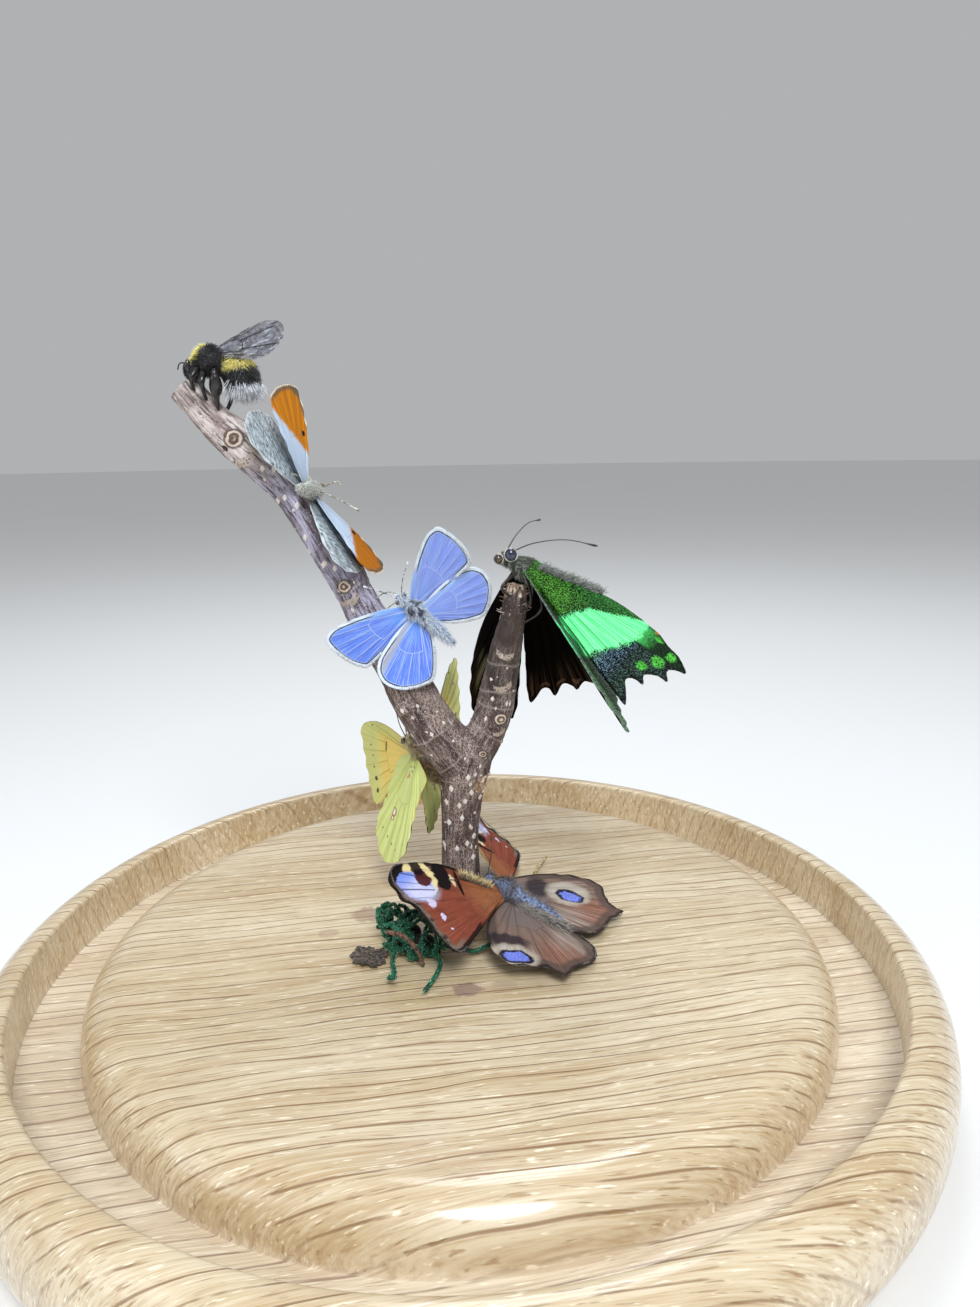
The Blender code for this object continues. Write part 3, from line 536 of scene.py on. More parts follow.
bpy.ops.object.shade_smooth()


def read(tree, name, output="Vector"):
    """What a mesh stores under a name."""
    return add(tree, "Attribute", attribute_name=name).outputs[output]


def cells(place, scale, randomness=1, **settings):
    """The distance to the nearest of many scattered points."""
    inputs = {"Vector": place, "Scale": scale, "Randomness": randomness}
    return add(tree_of(place), "TexVoronoi", inputs, **settings).outputs["Distance"]


bark_coat, tree, shader = new_material("dry_bark", 0.72)
spot = object_place(tree)
strip = read(tree, "bark")
raised = read(tree, "relief", "Fac")
ends = split(read(tree, "ends"))
high = split(spot)["Z"]
side = split(spot)["X"]
grain = noise(stretch(strip, (0.42, 0.42, 4.5)), 1, 4, 0.6)
blotch = noise(stretch(strip, (2.6, 2.6, 7)), 1, 3)
fleck = noise(strip, 4.2, 3, 0.7)
wrinkle = noise(stretch(strip, (2.6, 2.6, 0.26)), 1, 3, 0.6)
tone = paint((74, 54, 50), (112, 88, 82), ramp(blotch, 0.36, 0.66))
# Above about 66 mm the bark turns mauve-grey; its pale bluish tone is partly the bark's own colour and partly
# a painted bluish sheen.
mauve_and_sheen = paint((98, 86, 94), (176, 170, 194), ramp(blotch, 0.34, 0.62))
tone = paint(tone, mauve_and_sheen, ramp(high, 0.066, 0.084))
tan = paint((138, 120, 114), (214, 200, 194), ramp(blotch, 0.34, 0.62))
tone = paint(tone, tan, ramp(high, 0.106, 0.1145))
grey = paint((46, 34, 29), (92, 74, 64), ramp(blotch, 0.34, 0.62))
tone = paint(tone, grey, times(ramp(side, 0.003, 0.007), ramp(high, 0.056, 0.068)))
tone = paint(tone, (182, 172, 168), times(ramp(high, 0.026, 0.0195), 0.7))
tone = paint(tone, (46, 34, 32), ramp(grain, 0.5, 0.38, 0.85))
tone = paint(tone, (196, 184, 182), ramp(grain, 0.57, 0.69, 0.6))
tone = paint(tone, (232, 226, 224), ramp(fleck, 0.61, 0.66, 0.85))
tone = paint(tone, (60, 46, 44), ramp(wrinkle, 0.4, 0.3, 0.5))
crackle = cells(stretch(strip, (0.55, 0.55, 0.95)), 1, feature="DISTANCE_TO_EDGE")
crackle = times(ramp(crackle, 0.11, 0.03), ramp(blotch, 0.4, 0.6))
tone = paint(tone, (190, 176, 164), times(crackle, ramp(high, 0.078, 0.07, 0.6, 0.1)))
right_stem = times(ramp(side, 0.002, 0.005), ramp(high, 0.06, 0.07))
tone = paint(tone, (54, 39, 32), times(right_stem, 0.66))
pore = cells(stretch(strip, (2.1, 2.1, 3)), 1, distance="MANHATTAN")
pore_edge = plus(pore, times(noise(strip, 4), 0.05))
tone = paint(tone, (60, 46, 42), ramp(pore_edge, 0.34, 0.3, 0.5))
tone = paint(tone, (226, 214, 204), ramp(pore_edge, 0.3, 0.24, 0.92))
lozenge = read(tree, "lozenge", "Fac")
lozenge = plus(lozenge, times(noise(strip, 4), 0.4))
tone = paint(tone, (230, 220, 212), ramp(lozenge, 0.36, 0.46, 0.92))
tone = paint(tone, (196, 182, 170), times(ends["Z"], 0.45))
tone = paint(tone, (54, 38, 30), ramp(raised, -0.16, -0.4, 0.85))


def facing(outward, grow):
    """Turns a scar's own frame so that its z faces outward and its y runs up the stem."""
    out = Vector(outward).normalized()
    up = (Vector(grow) - out * Vector(grow).dot(out)).normalized()
    return Matrix((up.cross(out), up, out)).transposed().to_euler()


LEFT_UP = (-0.56, 0, 0.83)
RIGHT_UP = (0.2, 0, 0.98)
BUD_SCARS = [                         # centre, outward, up the stem, radius: ringed bud scars
    ((-40.6, 7.2, 116.1), (0.05, -1, 0.25), LEFT_UP, 1.9),
    ((-21.3, 6.3, 88), (0, -1, 0.1), LEFT_UP, 1.5),
    ((8.5, 5.5, 60.7), (0, -1, 0.1), RIGHT_UP, 1.4),
    ((4.8, 5.2, 53.6), (0, -1, 0.1), RIGHT_UP, 0.9),
]
LEAF_SCARS = [                        # centre, outward, up the stem, half width: U-shaped scars
    ((-20.6, 6, 85.4), (0, -1, 0), LEFT_UP, 2.1),
    ((8.2, 5.4, 57.9), (0, -1, 0), (-0.25, 0, 0.97), 1.3),
    ((9.7, 5.7, 73.9), (0.1, -1, 0), RIGHT_UP, 1.8),
    ((9.1, 5.5, 67.4), (0, -1, 0), (-0.2, 0, 0.97), 1.9),
    ((-39.2, 7.4, 112.6), (0.2, -1, 0), LEFT_UP, 2.6),
]
for centre, outward, grow, radius in BUD_SCARS:
    size = Vector((radius, radius * 0.9, radius)) * MM
    own = stretch(spot, size, Vector(centre) * MM, facing(outward, grow))
    reach = plus(length_of(own), times(noise(spot, 900, 4), 0.42))
    wave = calc("SINE", times(reach, 15))
    rings = paint((98, 76, 64), (206, 190, 172), ramp(wave, -0.5, 0.5))
    rings = paint((84, 62, 52), rings, ramp(reach, 0.16, 0.34))
    tone = paint(tone, (62, 46, 40), ramp(reach, 1.4, 1.22, 0.7))
    tone = paint(tone, rings, ramp(reach, 1.2, 1.05, 0.95))
for centre, outward, grow, width in LEAF_SCARS:
    size = Vector((width, width, width * 1.3)) * MM
    own = split(stretch(spot, size, Vector(centre) * MM, facing(outward, grow)))
    sag = plus(own["Y"], times(times(own["X"], own["X"]), -0.42))
    sag = plus(sag, times(noise(spot, 900, 4), 0.34))
    band = times(ramp(sag, -0.52, -0.44), ramp(sag, 0.2, 0.12))
    band = times(band, ramp(calc("ABSOLUTE", own["X"]), 1.02, 0.9))
    band = times(band, ramp(calc("ABSOLUTE", own["Z"]), 1, 0.8))
    dots = cells(spot, 1500, 0.7)
    scar = paint((52, 38, 34), (190, 172, 156), ramp(dots, 0.16, 0.4))
    tone = paint(tone, scar, times(band, 0.7))
KNOT_AT, KNOT_SIZE = (10, 6.2, 77.4), (1.7, 1.7, 2.4)      # a dark knot on the right branch
reach = length_of(stretch(spot, Vector(KNOT_SIZE) * MM, Vector(KNOT_AT) * MM))
tone = paint(tone, (58, 44, 38), ramp(reach, 1.05, 0.85, 0.85))
pale_wood = paint((150, 122, 100), (226, 208, 184), ramp(noise(spot, 900, 4), 0.4, 0.62))
pale_wood = paint(pale_wood, (56, 40, 32), ramp(noise(spot, 620, 2), 0.6, 0.68))
tone = paint(tone, pale_wood, ends["X"])
tone = paint(tone, pale_wood, times(ends["Y"], ramp(grain, 0.4, 0.52)))
tree.links.new(tone, shader.inputs["Base Color"])
bumps = plus(times(grain, 0.6), times(fleck, 0.25))
bumps = plus(bumps, ramp(pore_edge, 0.32, 0.2, 0.35))
bumps = plus(bumps, times(wrinkle, 0.2))
relief(shader, bumps, 0.0003)
twig.data.materials.append(bark_coat)
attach(twig, "root")
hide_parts("branch_trunk", "branch_left", "branch_right")


# ---- The fibres of the broken tip ----
# The right branch was snapped off, so thin splinters of bark stand out round its tip.
def spikes(name, roots, directions, lengths, widths, shades, droop=0):
    """Fine pointed hairs as one mesh: each a three-sided spike, bent over by droop."""
    roots, directions = np.asarray(roots, float), np.asarray(directions, float)
    directions /= np.linalg.norm(directions, axis=1)[:, None]
    count = len(roots)
    lengths = np.broadcast_to(lengths, count)[:, None]
    widths = np.broadcast_to(widths, count)[:, None]
    helper = np.where(np.abs(directions[:, 2:]) < 0.8, [[0, 0, 1]], [[1, 0, 0]])
    side = np.cross(directions, helper)
    side /= np.linalg.norm(side, axis=1)[:, None]
    other = np.cross(directions, side)
    fall = np.array([0, 0, -droop])
    middle = roots + directions * lengths * 0.55 + fall * lengths * 0.22
    tip = roots + directions * lengths * 0.95 + fall * lengths * 0.75
    corners = []
    for level, thick in ((roots, 0.5), (middle, 0.36)):
        for angle in (0, 2.0944, 4.1888):
            corners.append(level + widths * thick * (side * math.cos(angle) + other * math.sin(angle)))
    corners.append(tip)
    points = np.stack(corners, 1).reshape(-1, 3) * MM
    pattern = [(0, 2, 1), (0, 1, 4), (0, 4, 3), (1, 2, 5), (1, 5, 4), (2, 0, 3), (2, 3, 5),
               (3, 4, 6), (4, 5, 6), (5, 3, 6)]
    faces = (np.array(pattern)[None, :, :] + 7 * np.arange(count)[:, None, None]).reshape(-1, 3)
    mesh = bpy.data.meshes.new(name)
    mesh.from_pydata(points.tolist(), [], faces.tolist())
    tuft = bpy.data.objects.new(name, mesh)
    bpy.context.scene.collection.objects.link(tuft)
    mark(tuft, "shade", np.repeat(np.broadcast_to(np.asarray(shades, float), (count, 3)), 7, axis=0))
    mark(tuft, "reach", np.tile([0, 0, 0, 0.55, 0.55, 0.55, 1], count))
    pick(tuft)
    bpy.ops.object.shade_smooth()
    return tuft


def shades_of(rng, count, *tones, spread=0.12):
    """A linear colour for each hair, picked from the screen colours and varied a little."""
    palette = np.array([colour(*tone)[:3] for tone in tones])
    return palette[rng.integers(0, len(palette), count)] * rng.uniform(1 - spread, 1 + spread, (count, 1))


def hair_material(name, roughness, root_dark=0.45, **constants):
    """Hair that takes its colour from the mesh, darker towards its root."""
    constants.setdefault("Sheen_Weight", 0.5)
    constants.setdefault("Sheen_Roughness", 0.4)
    made, tree, shader = new_material(name, roughness, **constants)
    shade = read(tree, "shade")
    reach = read(tree, "reach", "Fac")
    dark = vector("MULTIPLY", shade, (root_dark,) * 3)
    tone = paint(dark, shade, ramp(reach, 0, 0.7))
    tree.links.new(tone, shader.inputs["Base Color"])
    return made


rng = np.random.default_rng(11)
SPLINTERS = 70
angles = rng.uniform(0, math.tau, SPLINTERS)
heights = rng.uniform(81.5, 87.4, SPLINTERS)
reach = 2.35 - (heights - 81.5) * 0.09
splinter_roots = np.stack([11.6 + (heights - 81.5) * 0.13 + reach * np.cos(angles),
                           9 + reach * np.sin(angles), heights], 1)
splinter_ways = np.stack([np.cos(angles), np.sin(angles), rng.uniform(-0.7, 0.9, SPLINTERS)], 1)
splinters = spikes("tip_splinters", splinter_roots, splinter_ways, rng.uniform(0.6, 1.7, SPLINTERS), 0.24,
                   shades_of(rng, SPLINTERS, (206, 176, 150), (150, 110, 84), (226, 206, 186)))
splinters.data.materials.append(hair_material("splinter_fibre", 0.8))
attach(splinters, "root")


# ---- The orange tip ----
# A small white butterfly with orange wing tips. It clings head outwards to the right
# side of the left branch, its wings half open. The wings are membranes under scales.
WING_SHEET = 0.1                     # a wing's thickness with its scales
WING_ROWS, WING_COLUMNS = 40, 150


def wing_axes(outline, base, tip, rear):
    """The directions of an outline's x and y, and the square to both."""
    base, tip, rear = (np.array(point, float) for point in (base, tip, rear))
    along = (tip - base) / np.linalg.norm(tip - base)
    square = np.cross(along, rear - base)
    square /= np.linalg.norm(square)
    front = np.cross(along, square)
    far_x, far_y = max(outline)
    angle = math.atan2(far_y, far_x)
    axis_x = along * math.cos(angle) - front * math.sin(angle)
    axis_y = along * math.sin(angle) + front * math.cos(angle)
    return axis_x, axis_y, square


def wing(name, outline, base, tip, rear, upper, ribs, cell, arch=(0, 0, 0), pleat=0.12, jag=0):
    """One wing: a thin sheet fanned out from its base, with pleats along its veins.

    upper is 1 where the upper side faces the camera and -1 where the underside does.
    ribs gives where along the margin the first and last vein end, and how many there are.
    cell gives how far out the closed middle cell reaches and between which veins.
    arch lifts the sheet towards the camera with the square of x, of y, and with x times y.
    """
    line = through(outline, 10)
    length = walked(line)
    share = np.linspace(0, 1, WING_COLUMNS + 1)
    margin = points_at(share, length / length[-1], line)
    if jag:
        bite = np.array([fine_noise.noise(Vector((s * 46, len(outline), 0.5))) for s in share])
        inner = margin.mean(0)
        fade = np.clip(np.minimum(share - 0.16, 0.9 - share) / 0.1, 0, 1)
        inward = inner - margin
        margin += inward / np.linalg.norm(inward, axis=1)[:, None] * (jag * bite * fade)[:, None]
    root = np.array(outline[0]) + (np.array(outline[-1]) - outline[0]) * share[:, None]
    bpy.ops.object.select_all(action="DESELECT")
    bpy.ops.mesh.primitive_grid_add(x_subdivisions=WING_ROWS, y_subdivisions=WING_COLUMNS, size=1)
    sheet = bpy.context.object
    sheet.name = name
    grid = points_of(sheet) * MM
    u, v = grid[:, 0] + 0.5, grid[:, 1] + 0.5
    column = np.rint(v * WING_COLUMNS).astype(int)
    flat = root[column] + (margin[column] - root[column]) * u[:, None]
    rib = (v - ribs[0]) / (ribs[1] - ribs[0]) * (ribs[2] - 1)
    gap = np.linalg.norm(np.gradient(margin, axis=0), axis=1)[column] * WING_COLUMNS
    gap *= u * (ribs[1] - ribs[0]) / (ribs[2] - 1)
    reach = np.linalg.norm(margin - root, axis=1)[column]
    beyond = (u - cell[0]) * reach
    beside = np.maximum(cell[1] - rib, rib - cell[2]) * gap
    outside = np.maximum(beyond, beside)
    edge = np.min(np.linalg.norm(flat[:, None, :] - margin[None, ::2, :], axis=2), axis=1)
    size = np.abs(line).max(0)
    x, y = flat[:, 0] / size[0], flat[:, 1] / size[1]
    lift = arch[0] * x * x + arch[1] * y * y + arch[2] * x * y
    inside_ribs = np.clip(np.minimum(rib + 1, ribs[2] - rib), 0, 1)
    pleated = np.clip(outside / 2, 0, 1) * inside_ribs * np.clip(gap / 1.2, 0, 1)
    lift += pleat * np.cos(rib * math.tau) * pleated
    lift += 0.1 * rough(np.stack([flat[:, 0], flat[:, 1], np.full(len(flat), base[0])], 1), (4.5, 4.5, 9), 1)
    lift *= np.clip(u * 4, 0, 1)
    axis_x, axis_y, square = wing_axes(outline, base, tip, rear)
    toward_camera = square if square @ (np.array(EYE) - base) > 0 else -square
    points = base + flat[:, :1] * axis_x + flat[:, 1:] * axis_y + toward_camera * lift[:, None]
    move_points(sheet, points)
    if sheet.data.polygons[0].normal.dot(Vector(toward_camera * upper)) < 0:
        bpy.ops.object.mode_set(mode="EDIT")
        bpy.ops.mesh.select_all(action="SELECT")
        bpy.ops.mesh.flip_normals()
        bpy.ops.object.mode_set(mode="OBJECT")
    mark(sheet, "wing", np.stack([flat[:, 0], flat[:, 1], edge], 1))
    mark(sheet, "veins", np.stack([rib, u, gap], 1))
    mark(sheet, "cell", outside)
    uv = sheet.data.uv_layers.active
    if uv:
        sheet.data.uv_layers.remove(uv)
    return sheet


def join(name, pieces):
    """Joins pieces that each have their material into one."""
    joined = pick(*pieces)
    bpy.ops.object.join()
    joined.name = name
    return joined


def dressed(piece, material):
    piece.data.materials.append(material)
    return piece


def finish_wings(name, sheets, materials):
    """Joins the sheets, each with its own upper and underside material, and gives them thickness."""
    for sheet, pair in zip(sheets, materials):
        for side in pair:
            sheet.data.materials.append(side)
        pick(sheet)
        wall = sheet.modifiers.new("Wall", "SOLIDIFY")
        wall.thickness = WING_SHEET * MM
        wall.offset = -1
        wall.material_offset = 1
        bpy.ops.object.modifier_apply(modifier="Wall")
        bpy.ops.object.shade_smooth_by_angle(angle=math.radians(50))
    return join(name, sheets)


def new_group(name, inputs, outputs):
    """A shader node group with named inputs and outputs, and the sockets inside at its two ends."""
    tree = bpy.data.node_groups.new(name, "ShaderNodeTree")
    for label, kind, value in inputs:
        socket = tree.interface.new_socket(label, in_out="INPUT", socket_type=kind)
        socket.default_value = value
    for label, kind in outputs:
        tree.interface.new_socket(label, in_out="OUTPUT", socket_type=kind)
    return tree, tree.nodes.new("NodeGroupInput").outputs, tree.nodes.new("NodeGroupOutput").inputs


VALUE, PLACE = "NodeSocketFloat", "NodeSocketVector"

# An oval mark on a wing, softened at its edge and a little uneven.
oval_mark, start, result = new_group("oval_mark", [
    ("Wing", PLACE, (0, 0, 0)), ("Centre", PLACE, (0, 0, 0)), ("Half", PLACE, (1, 1, 1)),
    ("Turn", VALUE, 0), ("Soft", VALUE, 0.15), ("Uneven", VALUE, 0.12)], [("Mask", VALUE)])
tree = oval_mark
flat_place = vector("MULTIPLY", start["Wing"], (1, 1, 0))
moved = vector("SUBTRACT", flat_place, start["Centre"])
turned = add(tree, "VectorRotate", {"Vector": moved, "Angle": times(start["Turn"], -1)},
             rotation_type="Z_AXIS").outputs[0]
wobble = times(minus(noise(flat_place, 1.6, 3), 0.5), start["Uneven"])
reach = plus(length_of(vector("DIVIDE", turned, start["Half"])), times(wobble, 2))
tree.links.new(ramp(reach, plus(1, start["Soft"]), minus(1, start["Soft"])), result["Mask"])

# The veins of a wing: lines where the vein count is whole, and the outline of the cell.
vein_lines, start, result = new_group("vein_lines", [
    ("Veins", PLACE, (0, 0, 0)), ("Cell", VALUE, 0), ("Count", VALUE, 9), ("Width", VALUE, 0.12)],
    [("Lines", VALUE), ("Between", VALUE)])
tree = vein_lines
parts = split(start["Veins"])
whole = calc("ABSOLUTE", minus(calc("FRACT", plus(parts["X"], 0.5)), 0.5))
away = times(whole, parts["Z"])
inner = times(start["Width"], 0.4)
lines = ramp(away, start["Width"], inner)
in_fan = calc("LESS_THAN", parts["X"], minus(start["Count"], 0.6))
in_fan = times(calc("GREATER_THAN", parts["X"], -0.4), in_fan)
lines = times(times(lines, in_fan), calc("GREATER_THAN", start["Cell"], -0.05))
rim = ramp(calc("ABSOLUTE", start["Cell"]), start["Width"], inner)
tree.links.new(calc("MAXIMUM", lines, rim), result["Lines"])
tree.links.new(times(whole, 2), result["Between"])

# The scales of a wing: fine rows across it, streaks along it and a powdery speckle.
wing_scales, start, result = new_group("wing_scales", [
    ("Wing", PLACE, (0, 0, 0)), ("Veins", PLACE, (0, 0, 0)), ("Size", VALUE, 1)],
    [("Streak", VALUE), ("Speckle", VALUE), ("Cloud", VALUE)])
tree = wing_scales
fan = vector("MULTIPLY", start["Veins"], (9, 1.6, 0))
tree.links.new(noise(fan, 1, 4, 0.6), result["Streak"])
close = vector("MULTIPLY", start["Wing"], start["Size"])
tree.links.new(noise(close, 7, 2, 0.7), result["Speckle"])
tree.links.new(noise(close, 0.35, 3, 0.5), result["Cloud"])


class Scales:
    """One side of a wing being painted: its tree, its places and the colour so far."""

    def __init__(self, name, ground, count, roughness=0.8, **constants):
        constants.setdefault("Specular_IOR_Level", 0.12)
        self.material, self.tree, self.shader = new_material(name, roughness, **constants)
        self.place, self.fan = read(self.tree, "wing"), read(self.tree, "veins")
        parts = split(self.place)
        self.x, self.y, self.edge = parts["X"], parts["Y"], parts["Z"]
        parts = split(self.fan)
        self.rib, self.out = parts["X"], parts["Y"]
        inputs = {"Veins": self.fan, "Cell": read(self.tree, "cell", "Fac"), "Count": count}
        self.lines, self.between = self.effect(vein_lines, inputs)
        inputs = {"Wing": self.place, "Veins": self.fan}
        self.streak, self.speckle, self.cloud = self.effect(wing_scales, inputs)
        self.tone = ground

    def effect(self, group, inputs):
        """What one of the shared effects puts out."""
        return add(self.tree, "Group", inputs, node_tree=group).outputs

    def over(self, tone, strength, *zones):
        """Paints a screen colour over what is there, where all zones are white.

        A zone is a mask, or a field's name with the low and high values between which it
        turns white, and how uneven its edge is.
        """
        mask = strength
        for zone in zones:
            if isinstance(zone, tuple):
                value = getattr(self, zone[0])
                zone = ramp(self.uneven(value, *zone[3:]) if zone[3:] else value, *zone[1:3])
            mask = zone if mask == 1 else times(zone, mask)
        self.tone = paint(self.tone, tone, mask)

    def uneven(self, value, amount, scale=1.2):
        """A value with an uneven edge, for zones with no sharp border."""
        wobble = minus(noise(self.place, scale, 3), 0.5)
        return plus(value, times(wobble, amount * 2))

    def oval(self, centre, half, turn=0, soft=0.15, uneven=0.12):
        """An oval mask with its centre, half size and turn in degrees."""
        inputs = {"Wing": self.place, "Centre": (*centre, 0), "Half": (*half, 1),
                  "Turn": math.radians(turn), "Soft": soft, "Uneven": uneven}
        return self.effect(oval_mark, inputs)["Mask"]

    def dusted(self, light, dark, strength=0.35):
        """Light and dark streaks along the wing and a fine speckle."""
        self.over(light, strength, ("streak", 0.52, 0.68))
        self.over(dark, strength, ("streak", 0.46, 0.32))
        self.over(dark, strength * 0.8, ("speckle", 0.44, 0.34))
        self.over(light, strength * 0.6, ("speckle", 0.56, 0.66))

    def done(self, depth=0.00006):
        """Feeds the colour and a fine relief into the shader."""
        self.tree.links.new(self.tone, self.shader.inputs["Base Color"])
        bumps = plus(times(self.lines, 0.9), times(self.speckle, 0.5))
        bumps = plus(bumps, times(self.streak, 0.6))
        relief(self.shader, bumps, depth)
        return self.material


ORANGE_FOREWING = [
    (0, 0.8), (4, 1.8), (9, 2.8), (14, 2.8), (18, 2), (20.4, 0.6), (20.8, -1), (19.6, -4.2),
    (17.2, -8), (14.6, -10.4), (12.5, -11), (8, -8.6), (4, -5.2), (0.6, -2),
]
ORANGE_HINDWING = [
    (0, 1), (4, 3), (9, 3.5), (13, 2.7), (15.3, 0.6), (16, -2.5), (15.2, -6.4), (13, -9.6),
    (10, -11.6), (6.8, -11.8), (4, -9.8), (2, -6.5), (0, -2.2),
]
ORANGE_WINGS = [                      # name, outline, base, tip, rear corner, lift
    ("forewing_left", ORANGE_FOREWING, (-27.6, 7.6, 106.9), (-30.1, 15.3, 126), (-31.7, 3, 121.7),
     (0, -0.5, 0.3)),
    ("hindwing_left", ORANGE_HINDWING, (-28.6, 7, 106.9), (-35.9, 11, 121.4), (-35.4, -0.4, 116.2),
     (0.2, -0.6, 0)),
    ("forewing_right", ORANGE_FOREWING, (-26.2, 7.8, 105.4), (-14.3, 16, 90.5), (-18.5, -1, 94.5),
     (0, -0.4, 0.3)),
    ("hindwing_right", ORANGE_HINDWING, (-27.1, 7, 104.6), (-17.7, 12.4, 92), (-20.5, 0.6, 92.4),
     (0.2, -0.6, 0)),
]
# The ribs and the cell of the two kinds of wing.
ORANGE_VEINS = {"fore": ((0.28, 0.84, 9), (0.5, 1.2, 5.2)), "hind": ((0.22, 0.86, 9), (0.46, 1.6, 5))}
sheets = [wing("orange_" + name, *places, 1, *ORANGE_VEINS[name[:4]], lift)
          for name, *places, lift in ORANGE_WINGS]


def orange_forewing_side(name, orange, border, dulled, slope, start):
    """White at the base, orange outside, a dark tip with a cream fringe and one black dot."""
    side = Scales(name, (184, 200, 220), 9)
    side.over((156, 172, 192), 0.8, ("out", 0.35, 0))
    side.over((216, 226, 234), 0.5, ("streak", 0.5, 0.7))
    outer = side.uneven(plus(side.x, times(side.y, slope)), 0.8)
    side.over(orange, 1 - dulled, ramp(outer, start - 0.6, start + 0.7))
    side.over((156, 80, 4), 0.7, ramp(outer, start, start + 1.6), ("streak", 0.56, 0.38))
    tip = side.uneven(plus(side.x, times(side.y, 0.25)), 0.6, 1.8)
    side.over(border, 1, ramp(tip, 18.2, 19.2))
    margin = times(ramp(side.uneven(side.edge, 0.3, 2), 1.3, 0.8), ramp(side.x, 12.5, 15))
    side.over(border, 0.85, margin)
    side.over((10, 10, 10), 1, side.oval((11.6, 0.9), (0.6, 0.5)))
    side.over((196, 164, 116), 1, ("edge", 0.38, 0.2), ("y", 0.2, 1))
    side.over((232, 222, 200), 0.9, ("edge", 0.42, 0.28), ("x", 13, 14.5))
    side.over((150, 120, 70), 0.22, side.lines)
    side.over((110, 116, 124), 0.3, ("speckle", 0.42, 0.34))
    return side.done()


def orange_hindwing_side(name, marbled):
    """Grey-white, with grey-green marbling in streaks that shows through from below."""
    side = Scales(name, (172, 182, 188), 9)
    marble = noise(stretch(side.place, (1.7, 0.3, 1)), 1, 4, 0.7)
    side.over((84, 94, 98), marbled, ramp(marble, 0.5, 0.57))
    side.over((222, 228, 230), 0.8, ramp(marble, 0.44, 0.36))
    side.over((112, 112, 84), marbled, ramp(marble, 0.56, 0.64), ("speckle", 0.44, 0.6))
    side.over((60, 66, 68), 0.5, ("out", 0.36, 0.02), ("streak", 0.66, 0.42))
    side.over((220, 224, 224), 0.6, ("edge", 0.5, 0.2))
    side.over((110, 116, 114), 0.5, side.lines)
    return side.done()


orange_under = orange_forewing_side("orange_tip_under", (214, 160, 84), (160, 152, 124), 0.35, 0.2, 9)
left_pair, right_pair = [(orange_forewing_side("orange_tip_" + way, orange, (104, 86, 66), 0, slope, start),
                          orange_under) for way, orange, slope, start in (
                              ("left", (200, 124, 8), 0.3, 8.2), ("right", (178, 106, 2), -0.05, 10.6))]
hindwing_pair = (orange_hindwing_side("marbled_upper", 0.85), orange_hindwing_side("marbled_under", 0.95))
orange_wings = finish_wings("orange_tip_wings", sheets, [left_pair, hindwing_pair, right_pair, hindwing_pair])
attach(orange_wings, "root")
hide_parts("orange_tip_butterfly")


def ringed(stations, rings, depth):
    """Body stations with shallow waists between the rings of the abdomen, from station to tail."""
    route = through(stations, 10)
    place = np.linspace(0, len(stations) - 1, len(route))
    first = rings[0]
    share = np.clip((place - first) / (len(stations) - 1.6 - first), 0, 1)
    waist = (0.5 - 0.5 * np.cos(share * rings[1] * math.tau)) ** 4
    route[:, 3] *= 1 - depth * (share > 0) * (share < 1) * waist
    return route


def in_order(mesh):
    """Puts a sphere's faces in order, since they come in a different one on each run."""
    points = [vertex.co.copy() for vertex in mesh.vertices]
    faces = []
    for face in mesh.polygons:
        corners = list(face.vertices)
        first = corners.index(min(corners))
        faces.append(corners[first:] + corners[:first])
    mesh.clear_geometry()
    mesh.from_pydata(points, [], sorted(faces))


def ball(name, centre, radii):
    """A smooth round lump, such as an eye."""
    bpy.ops.object.select_all(action="DESELECT")
    bpy.ops.mesh.primitive_uv_sphere_add(segments=28, ring_count=18, radius=MM, location=Vector(centre) * MM,
                                         scale=radii)
    lump = bpy.context.object
    lump.name = name
    bpy.ops.object.transform_apply(location=True, rotation=True, scale=True)
    in_order(lump.data)
    bpy.ops.object.shade_smooth()
    return lump


def limb(points, thick, thin, club=0, steps=6):
    """A leg or a feeler: a thin curved stem, thinning out, with a club at its tip if it has one."""
    route = through([(*point, 1) for point in points], steps)
    share = np.linspace(0, 1, len(route))
    route[:, 3] = thick + (thin - thick) * share + club * np.clip((share - 0.86) / 0.1, 0, 1)
    route[-1, 3] *= 0.6
    return route


def chitin(name, light, dark, roughness=0.35):
    """Hard insect skin with fine blotches, also used for thin bark and dry leaf."""
    made, tree, shader = new_material(name, roughness, Coat_Weight=0.2)
    spot = object_place(tree)
    tone = paint(dark, light, ramp(noise(spot, 1800, 4), 0.36, 0.64))
    tree.links.new(tone, shader.inputs["Base Color"])
    relief(shader, noise(spot, 3500), 0.00004)
    return made


def eye_material(name, light, dark):
    """A dried compound eye: smooth and glossy, with paler blotches and fine facets."""
    made, tree, shader = new_material(name, 0.22, Coat_Weight=0.6, Coat_Roughness=0.12)
    spot = object_place(tree)
    facets = cells(spot, 9000)
    tone = paint(dark, light, ramp(noise(spot, 900, 2), 0.4, 0.62))
    tone = paint(tone, dark, ramp(facets, 0.4, 0.7, 0.4))
    tree.links.new(tone, shader.inputs["Base Color"])
    relief(shader, facets, 0.000012)
    return made


def torso_of(kind, stations, rings, depth, sides, *skin):
    return dressed(tubes(kind + "_torso", [ringed(stations, rings, depth)], sides), chitin(*skin))


def limbs(name, routes, sizes, sides, *skin):
    """Legs or feelers as one piece, with their thickness at the root and tip and their club."""
    return dressed(tubes(name, [limb(points, *sizes) for points in routes], sides), chitin(*skin))


def eye_pair(middle, apart, radii, *skin):
    """Two eyes, one on each side of the middle."""
    eyes = [ball("eye", Vector(middle) + Vector(apart) * turn, radii) for turn in (-1, 1)]
    material = eye_material(*skin)
    return [dressed(eye, material) for eye in eyes]


